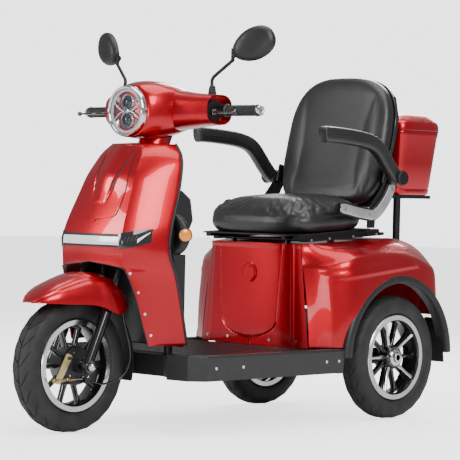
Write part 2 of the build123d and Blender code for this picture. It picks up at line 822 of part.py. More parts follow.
arch_edge = [(f(-60), 514), (f(84), 514), (f(100), 486), (f(127), 400), (f(146), 330), (f(168), 260),
             (f(-60), 260)]
with BuildPart() as leg_shield:
    add(shield_band([268, 465, 541, 587, 640, 732, 785, 827, 860, 885], wall))
    add(prism(side_plane(), arch_edge, 260, both=True), mode=Mode.SUBTRACT)
    top = shield_half_outline(885)
    with BuildSketch(Plane.XY.offset(882)):
        Polygon(*(top[::-1] + [(-x, y) for x, y in top[1:]]), align=None)
    extrude(amount=wall)
    with BuildSketch(steer(700)):
        Circle(sleeve_radius + 4)
    extrude(amount=100, mode=Mode.SUBTRACT)
keep(leg_shield, "leg_shield")

with BuildPart() as neck_sleeve:
    with BuildSketch(steer(730)):
        Circle(sleeve_radius)
        Circle(sleeve_radius - wall, mode=Mode.SUBTRACT)
    extrude(amount=80)
    add(pod_solid(0), mode=Mode.SUBTRACT)
keep(neck_sleeve, "neck_sleeve")


def hatch_section(z, half, out):
    """The front hatch's outline at a height."""
    y0, c, yc = [between(shield_rows, z, i) for i in range(1, 4)]
    edge = f(y0 + (yc - y0) * half / c)
    near, far = out, out + wall
    return [(-half, edge - near), (-half, edge - far), (0, f(y0) - far), (half, edge - far),
            (half, edge - near), (0, f(y0) - near)]


with BuildPart() as front_hatch:
    add(ruled([(Plane.XY.offset(z), hatch_section(z, half, 0.6))
               for z, half in ((652, 26), (656, 88), (732, 90), (785, 82), (827, 74), (860, 57), (872, 38))]))
keep(front_hatch, "front_hatch")

with BuildPart() as light_bar:
    add(shield_band([566, 587, 606], 4, 4.05, reach=1))
keep(light_bar, "light_bar")

with BuildPart() as signal_lamps:
    for side in (1, -1):
        sections = []
        for z, reach in ((566, 0.5), (587, 0.92), (612, 1.0)):
            _, a, b, _ = shield_half_outline(z, 6)
            _, c, d, _ = shield_half_outline(z, 0.05)
            a = (a[0] + 0.6, a[1])
            c = (c[0] + 0.6, c[1])
            b = (a[0] + (b[0] - a[0]) * reach, a[1] + (b[1] - a[1]) * reach)
            d = (c[0] + (d[0] - c[0]) * reach, c[1] + (d[1] - c[1]) * reach)
            sections.append((Plane.XY.offset(z), [(side * px, py) for px, py in (a, b, d, c)]))
        add(ruled(sections))
keep(signal_lamps, "signal_lamps")

# ---- rider's side of the shield, with a glovebox -----------------------------------------------
foot_half, knee_half, collar_half, channel_half = 200.0, 168.0, 118.0, 58.0
box_half_width = 118.0
door_line = ((f(297), 549), (f(347), 641))
# each part of the panel: half width, its outline from the side, and the outline of its hollow
panel_parts = [
    (foot_half, [(292, 262), (292, 546), (236, 546), (258, 465), (288, 268)],
     [(289, 250), (289, 560), (200, 560), (200, 250)]),
    (knee_half, [(290, 536), (294, 542), (353, 650), (341, 716), (302, 742), (268, 742), (252, 536)],
     [(289, 530), (349.5, 650.5), (338, 713.6), (301, 738.6), (240, 738.6), (240, 530)]),
    (collar_half, [(297, 734), (300, 734), (300, 846), (297, 846)], []),
    (channel_half, [(298.5, 728), (338, 722), (357, 780), (384, 842), (298.5, 842)],
     [(280, 745), (341.5, 745), (354, 781), (382, 850), (280, 850)]),
    (box_half_width + 7, [(290, 538), (278, 538), (278, 655), (350, 655), (350, 647)], []),
]
well_hollow = [(f(300), 544), (f(281), 544), (f(281), 650), (f(357), 650)]
slope = Vector(0, door_line[1][0] - door_line[0][0], door_line[1][1] - door_line[0][1])
door_length = slope.length
slope = slope.normalized()
door_plane = Plane(
    origin=(0, (door_line[0][0] + door_line[1][0]) / 2, (door_line[0][1] + door_line[1][1]) / 2),
    x_dir=(1, 0, 0), z_dir=slope.cross(Vector(1, 0, 0)),
)
with BuildPart() as inner_leg_shield:
    for half, outline, _ in panel_parts:
        add(prism(side_plane(), [(f(y), z) for y, z in outline], half, both=True))
    for half, _, hollow in panel_parts:
        if hollow:
            keep_clear = prism(side_plane(), [(f(y), z) for y, z in hollow], half - wall, both=True)
            if half == knee_half:
                keep_clear = keep_clear - prism(
                    side_plane(), [(f(y), z) for y, z in panel_parts[-1][1]], box_half_width + 7, both=True)
            add(keep_clear, mode=Mode.SUBTRACT)
    add(prism(side_plane(), well_hollow, box_half_width + 4, both=True), mode=Mode.SUBTRACT)
    with BuildSketch(steer(head_low_w)):
        Circle(stem_radius + 11)
    extrude(amount=head_high_w - head_low_w, mode=Mode.SUBTRACT)
keep(inner_leg_shield, "inner_leg_shield")

with BuildPart() as glovebox_door:
    with BuildSketch(door_plane.offset(-1)):
        Rectangle(2 * box_half_width, door_length)
    extrude(amount=4)
    with BuildSketch(door_plane.offset(3)):
        with Locations((0, door_length / 2 - 12)):
            RectangleRounded(46, 10, 4)
    extrude(amount=5)
    pin = door_plane.offset(3).from_local_coords((-60, -door_length / 2, 0))
    add(rod((pin.X, pin.Y, pin.Z), (60, pin.Y, pin.Z), 2.4))
keep(glovebox_door, "glovebox_door")

# ================================================================================================
# Floor
# ================================================================================================
floor_z = 236.0
floor_front = 254.0
floor_rear_y = r(-376)
with BuildPart() as floorboard:
    with BuildSketch(Plane.XY.offset(floor_z - 12)):
        with BuildLine():
            Polyline((-150, f(floor_front)), (150, f(floor_front)), (207, f(226)), (284, f(232)),
                     (296, f(292)), (296, floor_rear_y), (-296, floor_rear_y), (-296, f(292)),
                     (-284, f(232)), (-207, f(226)), close=True)
        make_face()
    extrude(amount=12)
    for side in (1, -1):
        with BuildSketch(Plane.XY.offset(floor_z - 20)):
            with Locations((side * rail_x, f(288))):
                Rectangle(2 * tube + 4, 2 * tube + 34)
        extrude(amount=30, mode=Mode.SUBTRACT)
    apron = [(-206, f(226)), (-150, f(floor_front)), (150, f(floor_front)), (206, f(226))]
    with BuildSketch(Plane.XY.offset(skirt_foot_z + 4)):
        add(face_of(band(apron, 4)))
    extrude(amount=floor_z - skirt_foot_z - 4)
keep(floorboard, "floorboard")

with BuildPart() as floor_mat:
    with BuildSketch(Plane.XY.offset(floor_z)):
        with BuildLine():
            Polyline((-160, f(306)), (160, f(306)), (284, f(330)), (284, floor_rear_y - 14),
                     (-284, floor_rear_y - 14), (-284, f(330)), close=True)
        make_face()
    extrude(amount=4)
keep(floor_mat, "floor_mat")

skirt_outer = 336.0
skirt_end_y = r(-275)
skirt_line = [(208, f(212)), (290, f(220)), (skirt_outer, f(262)), (skirt_outer, skirt_end_y)]
with BuildPart() as side_skirts:
    for side in (1, -1):
        inner = [(208, f(218)), (284, f(230)), (296.4, f(290)), (296.4, skirt_end_y)]
        points = [(side * x, y) for x, y in skirt_line + inner[::-1]]
        lean = [(x - side * 6 if abs(x) > 298 else x, y) for x, y in points]
        add(ruled([(Plane.XY.offset(skirt_foot_z), lean), (Plane.XY.offset(floor_z), points),
                   (Plane.XY.offset(skirt_top_z), lean)]))
keep(side_skirts, "side_skirts")

# ================================================================================================
# Seat box and rear body
# ================================================================================================
box_front_rows = [(floor_z + 5, box_front_half_foot, r(-347), r(-374)), (deck_front_z - wall - seam, box_front_half_top, r(-347), r(-372))]
flap_radius = 26.0
flap_z = 479.0
socket_radius = 17.0
with BuildPart() as seat_box_front:
    sections = []
    for z, half, corner_y, mid_y in box_front_rows:
        line = [(-half, corner_y), (-half * 0.5, mid_y + 7), (0, mid_y), (half * 0.5, mid_y + 7), (half, corner_y)]
        back = [(x * (half - wall) / half, y + wall) for x, y in line[::-1]]
        sections.append((Plane.XY.offset(z), line + back))
    add(ruled(sections))
    with BuildSketch(cross_plane(r(-358))):
        with Locations((0, flap_z)):
            Circle(flap_radius + 4)
    extrude(amount=17)
    with BuildSketch(cross_plane(r(-340))):
        with Locations((0, flap_z)):
            Circle(socket_radius)
    extrude(amount=50, mode=Mode.SUBTRACT)
    with BuildSketch(cross_plane(r(-352))):
        with Locations((0, flap_z)):
            Circle(socket_radius + 2)
    extrude(amount=8)
keep(seat_box_front, "seat_box_front")

flap_face_y = r(-375)
hinge_drop = flap_radius + 5
with BuildPart() as charge_flap:
    with BuildSketch(cross_plane(flap_face_y - 0.05)):
        with Locations((0, flap_z)):
            Circle(flap_radius)
        with Locations((0, flap_z - flap_radius)):
            Rectangle(20, 12)
    extrude(amount=4)
    with BuildSketch(cross_plane(flap_face_y - 4)):
        with Locations((0, flap_z + flap_radius - 7)):
            RectangleRounded(14, 5, 2)
    extrude(amount=3)
    pin = (flap_face_y - 2.05, flap_z - flap_radius - 1)
    add(rod((-11, *pin), (11, *pin), 1), mode=Mode.SUBTRACT)
keep(charge_flap, "charge_flap")

# Y behind the rear axle, half width at the foot and at the shoulder, shoulder height, bevel above it,
# deck half width, fall of the deck below its slope
body_rows = [(-343.4, 240, 209, 500, 3, 199.4, 0), (-296, 308, 292, 504, 20, 214, 0),
             (-220, fender_half, fender_half, 528, 26, 232, 0), (-35, fender_half, fender_half, 542, 26, 246, 0),
             (60, fender_half, fender_half, 534, 26, 246, -4), (178, 334, 334, 500, 26, 236, -34),
             (232, 296, 296, 466, 26, 206, -62)]
arch_radius = 256.0


def deck_z(y):
    """Deck height at y before the rear end falls away."""
    return deck_front_z + (y - seat_front_y - 57) * deck_slope


with BuildPart() as rear_fenders:
    for side in (1, -1):
        sections = []
        for dy, foot, out, shoulder, bevel, inside, drop in body_rows:
            y = r(dy)
            top = deck_z(y) + drop
            outer = [(foot, skirt_top_z + 3), (out, shoulder), (out - bevel, shoulder + bevel), (inside, top)]
            inner = [(inside - 1, top - wall), (out - bevel - 3, shoulder + bevel - 4),
                     (out - wall, shoulder - 2), (foot - wall, skirt_top_z + 3)]
            points = [(side * x, z) for x, z in outer + inner]
            sections.append((cross_plane(y), points))
        add(ruled(sections))
    with BuildSketch(side_plane(-400)):
        with Locations((rear_axle_y, tyre_r)):
            Circle(arch_radius + 12.4)
    extrude(amount=800, mode=Mode.SUBTRACT)
    add(block((-400, r(-290), 100), (400, r(-200), skirt_top_z + 3)), mode=Mode.SUBTRACT)
keep(rear_fenders, "rear_fenders")

with BuildPart() as rear_deck:
    sections = []
    for dy, *_, inside, drop in body_rows:
        top = deck_z(r(dy)) + drop
        edge = inside - 1 - seam
        sections.append((cross_plane(r(dy)), [(-edge, top), (edge, top), (edge, top - wall), (-edge, top - wall)]))
    add(ruled(sections))
    lip = [(-199, r(-336)), (-199, r(-347)), (-100, r(-365)), (0, r(-372)), (100, r(-365)), (199, r(-347)),
           (199, r(-336))]
    with BuildSketch(Plane.XY.offset(deck_front_z - wall)):
        add(face_of(lip))
    extrude(amount=wall)
    last = deck_z(r(232)) - 62
    add(block((-200, r(229), skirt_top_z + 60), (200, r(232), last)))
    for side in (1, -1):
        with BuildSketch(Plane.XY.offset(400)):
            with Locations((side * rail_x, rear_post_y)):
                Circle(tube + 2)
            with Locations((side * lug_x, seat_point(0, hinge_s, 0)[1])):
                Rectangle(14, 36)
        extrude(amount=300, mode=Mode.SUBTRACT)
keep(rear_deck, "rear_deck")

with BuildPart() as arch_trims:
    for side in (1, -1):
        with BuildSketch(side_plane(308 if side > 0 else -344)):
            with BuildLine():
                for radius in (arch_radius - 12, arch_radius + 12):
                    CenterArc((rear_axle_y, tyre_r), radius, 4, 172)
                for angle in (4, 176):
                    Line(*[(rear_axle_y + k * cos(radians(angle)), tyre_r + k * sin(radians(angle)))
                           for k in (arch_radius - 12, arch_radius + 12)])
            make_face()
        extrude(amount=36)
keep(arch_trims, "arch_trims")

with BuildPart() as tail_lights:
    for side in (1, -1):
        add(block((side * 150 - 40, r(232.05), 400), (side * 150 + 40, r(246), 440)))
keep(tail_lights, "tail_lights")

with BuildPart() as panel_screws:
    for side in (1, -1):
        for x, y, z in ((150, f(86), 505), (206, f(158), 300)):
            add(rod((side * (x + 1), y, z), (side * (x + 9), y - 3, z), 4))
        for x in (92, 205):
            y = r(-374) + 7 + (r(-347) - r(-374) - 7) * (x - 120) / 119 if x > 120 else r(-374) + 5.4
            add(rod((side * x, y - 4.5, 262), (side * x, y - 0.9, 262), 6))
keep(panel_screws, "panel_screws")

# ================================================================================================
# Rack and top box
# ================================================================================================
box_rear_y = r(box_overhang - 3)
box_front_y = box_rear_y - top_box_length + 36
rack_z = top_box_floor_z - 12
rack_front_y = r(150)  # behind the foot of the folding backrest
with BuildPart() as rack:
    with BuildSketch(Plane.XY.offset(rack_z)):
        with Locations((0, (rack_front_y + box_rear_y - 10) / 2)):
            RectangleRounded(300, box_rear_y - 10 - rack_front_y, 12)
    extrude(amount=12)
keep(rack, "rack")

box_half = top_box_width / 2
lid_z = top_box_floor_z + top_box_height
lid_hinge = (box_front_y - 6, lid_z + 4)
lid_pin = 5.0
floor_inset = 26.0
with BuildPart() as top_box:
    outer = [(box_half - floor_inset, box_front_y + 14, box_rear_y - 22, top_box_floor_z),
             (box_half, box_front_y, box_rear_y, lid_z)]
    for inset, mode in ((0, Mode.ADD), (4, Mode.SUBTRACT)):
        sections = []
        for i, (half, y0, y1, z) in enumerate(outer):
            h, a, b = half - inset, y0 + inset, y1 - inset
            c = 22
            sections.append((Plane.XY.offset(z + (inset if i == 0 else inset * 0.01)),
                             [(-h, a + c), (-h + c, a), (h - c, a), (h, a + c), (h, b - c), (h - c, b),
                              (-h + c, b), (-h, b - c)]))
        add(ruled(sections), mode=mode)
    add(block((-60, box_front_y - 11, lid_z - 16), (60, box_front_y + 2, lid_z - 2)))
keep(top_box, "top_box")

with BuildPart() as top_box_lid:
    for inset, mode in ((0, Mode.ADD), (4, Mode.SUBTRACT)):
        h, a, b, c = box_half + 3 - inset, box_front_y - 3 + inset, box_rear_y + 3 - inset, 22
        z = lid_z + 0.4 - (1 if inset else 0)
        sections = []
        for rise, draw, front_in, rear_in in ((0, 0, 0, 0), (30 - inset * 0.5, 4, 4, 6), (lid_height - inset, 34, 60, 48)):
            hh, aa, bb = h - draw, a + front_in, b - rear_in
            sections.append((Plane.XY.offset(z + rise), [
                (-hh, aa + c), (-hh + c, aa), (hh - c, aa), (hh, aa + c), (hh, bb - c), (hh - c, bb),
                (-hh + c, bb), (-hh, bb - c)]))
        add(ruled(sections), mode=mode)
    add(rod((-60, *lid_hinge), (60, *lid_hinge), lid_pin))
keep(top_box_lid, "top_box_lid")

# ================================================================================================
# Seat
# ================================================================================================
rail_s1 = 400.0
seat_rail_x = 196.0
with BuildPart() as seat_base:
    for side in (1, -1):
        add(seat_block(side * seat_rail_x - 15, side * seat_rail_x + 15, 9, rail_s1, 6, 16))
    add(seat_block(-seat_rail_x, seat_rail_x, 40, 60, 6, 14))
    add(seat_block(-seat_rail_x, seat_rail_x, 370, 390, 6, 14))
    add(seat_rod(-seat_rail_x + 13, seat_rail_x - 13, hinge_s, hinge_t, hinge_pin))
keep(seat_base, "seat_base")

slide_travel = 80.0
with BuildPart() as seat_frame:
    for side in (1, -1):
        add(seat_block(side * seat_rail_x - 11, side * seat_rail_x + 11, -30, rail_s1 - 20, 16.4, 28))
    add(seat_block(-216, 216, -34, 326, 28, 33))
    add(seat_block(-248, 248, 262, 290, 28, 33))
    with BuildSketch(seat(0, 17)):
        with Locations((150, 70)):
            Circle(3)
    extrude(amount=12)
keep(seat_frame, "seat_frame")

with BuildPart() as slide_lever:
    with BuildLine():
        start = seat_point(150, 66, 22)
        FilletPolyline(start, seat_point(150, -44, 22), seat_point(172, -62, 22), radius=12)
    with BuildSketch(Plane(origin=start, z_dir=Vector(*seat_point(150, -44, 22)) - Vector(*start))):
        Circle(4)
    sweep()
    with BuildSketch(seat(0, 18)):
        with Locations((150, 70)):
            Circle(8)
    extrude(amount=8)
    with BuildSketch(seat(0, 17)):
        with Locations((150, 70)):
            Circle(3 + running_clearance)
    extrude(amount=10, mode=Mode.SUBTRACT)
keep(slide_lever, "slide_lever")

cushion_t = 33.2
cushion_front = -50.0
cushion_rear = cushion_front + seat_length - 79
with BuildPart() as seat_cushion:
    half = seat_width / 2
    rows = [(0, half - 22, -18, 6), (18, half - 2, -2, 2), (seat_thickness * 0.7, half, 0, 0),
            (seat_thickness - 12, half - 12, 10, 4), (seat_thickness, half - 36, 34, 18)]
    sections = []
    for t, h, front_in, rear_in in rows:
        plane = seat(0, cushion_t + t)
        a, b, c = cushion_front + abs(front_in), cushion_rear - rear_in, 46
        sections.append((plane, [
            (-h, a + c), (-h + c * 0.7, a + c * 0.3), (-h * 0.4, a), (h * 0.4, a), (h - c * 0.7, a + c * 0.3),
            (h, a + c), (h, b - 16), (h - 16, b), (-h + 16, b), (-h, b - 16)]))
    add(ruled(sections))
keep(seat_cushion, "seat_cushion")

pivot_y, pivot_z = r(35), 800.0
back_bottom = -100.0


def back(v=0.0, n=0.0):
    """The backrest's plane: X across, v up it, n behind it, from the fold pivot."""
    lean = radians(back_lean)
    up = Vector(0, sin(lean), cos(lean))
    behind = Vector(0, cos(lean), -sin(lean))
    return Plane(origin=Vector(0, pivot_y, pivot_z) + up * v + behind * n, x_dir=(1, 0, 0), z_dir=behind * -1)


def back_outline(inset=0.0, low=0.0):
    """The backrest's rounded outline, drawn in by an inset, on its own plane."""
    h = back_width / 2 - inset
    top = back_height + back_bottom - inset
    bottom = back_bottom + inset + low
    return [(-h + 50, bottom), (-h + 20, bottom + 16), (-h + 8, bottom + 110), (-h, bottom + 240),
            (-h + 4, top - 130), (-h + 32, top - 58), (-h + 84, top - 16), (-h + 150, top), (h - 150, top),
            (h - 84, top - 16), (h - 32, top - 58), (h - 4, top - 130), (h, bottom + 240),
            (h - 8, bottom + 110), (h - 20, bottom + 16), (h - 50, bottom)]


ear_inner, ear_outer = 236.0, 243.0
shell_front, shell_rear = 16.0, 42.0
with BuildPart() as back_shell:
    add(ruled([(back(0, shell_front), back_outline(2)), (back(0, shell_front + 12), back_outline(2)),
               (back(0, shell_rear), back_outline(24))]))
    for side in (1, -1):
        low, high = sorted((side * ear_inner, side * ear_outer))
        wide = sorted((side * 190, side * ear_outer))
        with BuildPart() as ear:
            with BuildSketch(back(0, shell_rear - 8)):
                with Locations(((wide[0] + wide[1]) / 2, 10)):
                    Rectangle(wide[1] - wide[0], 60)
            extrude(amount=shell_rear - 8 - shell_front)
            with BuildSketch(back(0, shell_rear - 8)):
                with Locations(((low + high) / 2, 10)):
                    Rectangle(high - low, 60)
            extrude(amount=shell_rear - 8 + 18)
        add(ear.part)
        add(rod((low - 1, pivot_y, pivot_z), (high + 1, pivot_y, pivot_z), pivot_radius + running_clearance),
            mode=Mode.SUBTRACT)
keep(back_shell, "back_shell")

with BuildPart() as back_cushion:
    front = -(back_thickness - shell_rear)
    add(ruled([(back(0, shell_front - 0.2), back_outline(3)), (back(0, -10), back_outline(0)),
               (back(0, front + 14), back_outline(8)), (back(0, front), back_outline(34))]))
keep(back_cushion, "back_cushion")

bracket_inner, bracket_outer = 248.5, 254.5
arm_inner = 262.0
with BuildPart() as seat_brackets:
    strap = [(seat_point(0, 262, 0)[1], 632), (seat_point(0, 290, 0)[1] + 6, 632), (pivot_y - 74, 664),
             (pivot_y + 20, pivot_z - 38), (pivot_y + 24, pivot_z + 8), (pivot_y + 8, pivot_z + 22),
             (pivot_y - 14, pivot_z + 16), (pivot_y - 30, pivot_z - 22), (pivot_y - 104, 697),
             (r(-226), 714), (r(-240), 706), (r(-240), 690), (r(-226), 682), (seat_point(0, 262, 0)[1], 668)]
    for side in (1, -1):
        low = side * bracket_inner if side > 0 else -bracket_outer
        add(prism(side_plane(low), strap, bracket_outer - bracket_inner))
        ends = sorted((side * (ear_inner - 3), side * (arm_inner + arm_width + 9)))
        add(rod((ends[0], pivot_y, pivot_z), (ends[1], pivot_y, pivot_z), pivot_radius))
        ends = sorted((side * (arm_inner + arm_width + 0.4), side * (arm_inner + arm_width + 13)))
        add(rod((ends[0], pivot_y, pivot_z), (ends[1], pivot_y, pivot_z), 21))
        ends = sorted((side * bracket_outer, side * (arm_inner - 0.4)))
        add(rod((ends[0], pivot_y, pivot_z), (ends[1], pivot_y, pivot_z), 14))
keep(seat_brackets, "seat_brackets")

arm_outline = [(-378, 152), (-386, 118), (-372, 96), (-330, 82), (-250, 76), (-170, 58), (-110, 24),
               (-60, -14), (-22, -22), (8, -21), (22, -4), (20, 14), (4, 26), (-26, 40), (-64, 74),
               (-104, 118), (-150, 140), (-250, 152), (-340, 160)]
for side, name in ((1, "left"), (-1, "right")):
    with BuildPart() as armrest:
        low = arm_inner if side > 0 else -arm_inner - arm_width
        add(prism(side_plane(low), [(pivot_y + y, pivot_z + z) for y, z in arm_outline], arm_width))
        add(rod((low - 1, pivot_y, pivot_z), (low + arm_width + 1, pivot_y, pivot_z),
                pivot_radius + running_clearance), mode=Mode.SUBTRACT)
    keep(armrest, f"armrest_{name}")
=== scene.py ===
"""Looks of a three-wheeled mobility scooter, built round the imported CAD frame.

Every size is in millimetres until mesh code turns it into metres. Two datums carry the layout: the
front axle for the fork, shield and pod, and the rear axle for the body, seat and box.
"""

import json
import logging
from collections.abc import Callable, Sequence
from dataclasses import dataclass
from enum import Enum
from math import cos, hypot, pi, radians, sin, sqrt, tau
from typing import ClassVar

import bmesh
import bpy
from mathutils import Matrix, Vector

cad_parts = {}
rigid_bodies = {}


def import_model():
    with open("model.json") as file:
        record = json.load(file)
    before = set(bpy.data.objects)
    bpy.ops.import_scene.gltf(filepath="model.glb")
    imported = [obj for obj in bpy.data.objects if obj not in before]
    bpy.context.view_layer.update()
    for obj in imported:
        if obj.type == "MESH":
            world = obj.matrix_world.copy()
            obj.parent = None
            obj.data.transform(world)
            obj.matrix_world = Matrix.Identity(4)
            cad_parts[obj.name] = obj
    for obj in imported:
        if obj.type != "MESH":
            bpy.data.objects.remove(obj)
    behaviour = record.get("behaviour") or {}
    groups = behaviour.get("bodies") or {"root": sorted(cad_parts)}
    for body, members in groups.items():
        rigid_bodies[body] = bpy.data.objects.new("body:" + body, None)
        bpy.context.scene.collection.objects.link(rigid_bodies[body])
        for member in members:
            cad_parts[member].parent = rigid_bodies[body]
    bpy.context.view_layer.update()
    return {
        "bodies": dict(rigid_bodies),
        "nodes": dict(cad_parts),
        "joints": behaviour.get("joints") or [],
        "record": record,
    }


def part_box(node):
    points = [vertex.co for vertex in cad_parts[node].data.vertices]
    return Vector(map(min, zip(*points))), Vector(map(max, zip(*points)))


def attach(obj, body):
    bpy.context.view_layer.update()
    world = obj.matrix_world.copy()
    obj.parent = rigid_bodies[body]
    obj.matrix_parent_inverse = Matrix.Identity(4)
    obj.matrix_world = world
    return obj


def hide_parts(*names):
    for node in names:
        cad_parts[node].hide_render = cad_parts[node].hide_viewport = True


log = logging.getLogger("scooter")
MM = 0.001
AXLE_HEIGHT = 205.0  # of all three wheels, which is also the tyre's radius
ACROSS = (1, 0, 0)
STEER_AXIS = (0, 0.41469, 0.90996)
Point = tuple[float, float, float]
Rows = Sequence[Sequence[float]]
PatchRows = Sequence[tuple[float, Sequence[float]]]
Profile = Sequence[tuple[float, float]]
Object = bpy.types.Object
Material = bpy.types.Material
Socket = bpy.types.NodeSocket


class Body(str, Enum):
    """The rigid bodies that pieces ride on."""

    CHASSIS = "chassis"
    STEERING = "steering"
    FORK = "fork_lower"
    FRONT_WHEEL = "front_wheel"
    SEAT = "seat_carriage"
    SEAT_BASE = "seat_base"
    LID = "top_box_lid"
    THROTTLE = "throttle_grip"
    LEVER_LEFT = "brake_lever_left"
    LEVER_RIGHT = "brake_lever_right"
    MIRROR_LEFT = "mirror_head_left"
    MIRROR_RIGHT = "mirror_head_right"
    ARM_LEFT = "armrest_left"
    ARM_RIGHT = "armrest_right"
    REAR_LEFT = "rear_wheel_left"
    REAR_RIGHT = "rear_wheel_right"
    BACKREST = "backrest"


# ---- reading tables and places ------------------------------------------------------------------
def blend_rows(rows: Rows, at: float) -> list[float]:
    """Reads a table of rows with a smooth curve between them.

    Args:
        rows: rows whose first number rises.
        at: the place in the first column.

    Returns:
        The other columns at that place.
    """
    last = len(rows) - 1
    at = min(max(at, rows[0][0]), rows[last][0])
    i = next(k for k in range(last) if at <= rows[k + 1][0])
    low, high = rows[i], rows[i + 1]
    span = high[0] - low[0]
    t = (at - low[0]) / span
    before, after = rows[max(i - 1, 0)], rows[min(i + 2, last)]
    out = []
    for c in range(1, len(low)):
        slope_low = (high[c] - before[c]) / (high[0] - before[0]) * span
        slope_high = (after[c] - low[c]) / (after[0] - low[0]) * span
        h00, h10 = (1 + 2 * t) * (1 - t) ** 2, t * (1 - t) ** 2
        h01, h11 = t * t * (3 - 2 * t), t * t * (t - 1)
        out.append(h00 * low[c] + h10 * slope_low + h01 * high[c] + h11 * slope_high)
    return out


def spread(low: float, high: float, count: int) -> list[float]:
    """Evenly spaced numbers, both ends included."""
    return [low + (high - low) * i / (count - 1) for i in range(count)]


def clamp(value: float) -> float:
    """A number held between 0 and 1."""
    return min(max(value, 0.0), 1.0)


def signed_power(value: float, power: float) -> float:
    """A power of a number's size, with the number's sign."""
    return abs(value) ** power * (1 if value >= 0 else -1)


def ridge(at: float, centre: float, width: float, height: float) -> float:
    """A soft line of a height, centred at a place and fading over a width."""
    t = abs(at - centre) / width
    return height * (1 - t * t * (3 - 2 * t)) if t < 1 else 0.0


@dataclass(frozen=True)
class Layout:
    """Where the axles lie along the scooter, read from the frame."""

    front_axle: float
    rear_axle: float

    def front(self, y: float) -> float:
        """Y of a place y behind the front axle, in millimetres."""
        return self.front_axle + y

    def rear(self, y: float) -> float:
        """Y of a place y behind the rear axle, in millimetres."""
        return self.rear_axle + y


def read_layout() -> Layout:
    """Finds both axles from the rims' boxes.

    Returns:
        The layout, in millimetres.
    """
    low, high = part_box("front_rim")
    back_low, back_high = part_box("rear_rim_left")
    return Layout((low[1] + high[1]) / 2 / MM, (back_low[1] + back_high[1]) / 2 / MM)


# ---- meshes --------------------------------------------------------------------------------------
def place(mesh: bpy.types.Mesh, name: str) -> Object:
    """Puts a mesh in the scene as an object at the origin."""
    piece = bpy.data.objects.new(name, mesh)
    bpy.context.scene.collection.objects.link(piece)
    return piece


def build_mesh(name: str, points: Sequence[Sequence[float]], faces: Sequence[Sequence[int]],
               sharp_angle: float = 40.0, recalculate: bool = True) -> Object:
    """Makes an object from points in millimetres.

    Args:
        name: the object's name.
        points: corners, in millimetres.
        faces: corner numbers of each face.
        sharp_angle: edges sharper than this stay crisp, in degrees.
        recalculate: turn the faces outward.

    Returns:
        The object, smooth-shaded.
    """
    mesh = bpy.data.meshes.new(name)
    mesh.from_pydata([[c * MM for c in p] for p in points], [], [list(face) for face in faces])
    form = bmesh.new()
    form.from_mesh(mesh)
    bmesh.ops.remove_doubles(form, verts=form.verts, dist=1e-6)
    if recalculate:
        bmesh.ops.recalc_face_normals(form, faces=form.faces)
    for face in form.faces:
        face.smooth = True
    for edge in form.edges:
        edge.smooth = not (edge.is_manifold and edge.calc_face_angle(0.0) > radians(sharp_angle))
    form.to_mesh(mesh)
    form.free()
    return place(mesh, name)


def grid(name: str, rows: Sequence[Sequence[Sequence[float]]], around: bool = False, caps: bool = False,
         sharp_angle: float = 40.0) -> Object:
    """Skins rows of points.

    Args:
        name: the object's name.
        rows: equally long runs of points, in millimetres.
        around: join each row's last point to its first.
        caps: close the first and last rows with a face.
        sharp_angle: as for build_mesh.

    Returns:
        The object.
    """
    width = len(rows[0])
    points = [p for row in rows for p in row]
    faces = []
    steps = width if around else width - 1
    for r in range(len(rows) - 1):
        for c in range(steps):
            d = (c + 1) % width
            faces.append((r * width + c, r * width + d, (r + 1) * width + d, (r + 1) * width + c))
    if caps:
        faces.append(tuple(range(width))[::-1])
        faces.append(tuple(range((len(rows) - 1) * width, len(rows) * width)))
    return build_mesh(name, points, faces, sharp_angle)


def add_wall(piece: Object, thickness: float, bevel: float) -> Object:
    """Gives a sheet a wall and rounds its edges.

    Args:
        piece: an open sheet.
        thickness: wall that grows inward from the sheet, in millimetres.
        bevel: edge rounding, in millimetres.

    Returns:
        The same piece.
    """
    wall = piece.modifiers.new("wall", "SOLIDIFY")
    wall.thickness, wall.offset, wall.use_even_offset = thickness * MM, -1.0, True
    return round_edges(piece, bevel, 2, 50.0)


def round_edges(piece: Object, width: float, segments: int = 3, angle: float = 35.0) -> Object:
    """Rounds a closed piece's crisp edges by a width in millimetres."""
    edge = piece.modifiers.new("edge", "BEVEL")
    edge.width, edge.segments, edge.limit_method, edge.angle_limit = width * MM, segments, "ANGLE", radians(angle)
    return piece


def lathe(name: str, profile: Profile, centre: Sequence[float], axis: Sequence[float], segments: int = 64,
          sharp_angle: float = 32.0) -> Object:
    """Turns a profile round an axis.

    Args:
        name: the object's name.
        profile: a closed loop of distance along the axis and radius, in millimetres.
        centre: a point on the axis, where the profile's distance is zero.
        axis: the axis direction.
        segments: steps round.
        sharp_angle: as for build_mesh.

    Returns:
        The object.
    """
    along = Vector(axis).normalized()
    side = along.orthogonal().normalized()
    other = along.cross(side)
    middle = Vector(centre)
    rows = []
    for k in range(segments):
        turn = side * cos(tau * k / segments) + other * sin(tau * k / segments)
        rows.append([middle + along * a + turn * max(rad, 0.0) for a, rad in profile])
    width = len(profile)
    faces = []
    for k in range(segments):
        n = (k + 1) % segments
        for c in range(width):
            d = (c + 1) % width
            faces.append((k * width + c, k * width + d, n * width + d, n * width + c))
    return build_mesh(name, [p for row in rows for p in row], faces, sharp_angle)


def smooth_path(points: Sequence[Sequence[float]], steps: int) -> list[Vector]:
    """A smooth run of points through the given ones, steps to each span."""
    knots = [Vector(p) for p in points]
    out = []
    for i in range(len(knots) - 1):
        before, a, b, after = knots[max(i - 1, 0)], knots[i], knots[i + 1], knots[min(i + 2, len(knots) - 1)]
        for s in range(steps):
            t = s / steps
            out.append(0.5 * (2 * a + (b - before) * t + (2 * before - 5 * a + 4 * b - after) * t ** 2
                              + (3 * a - before - 3 * b + after) * t ** 3))
    return [*out, knots[-1]]


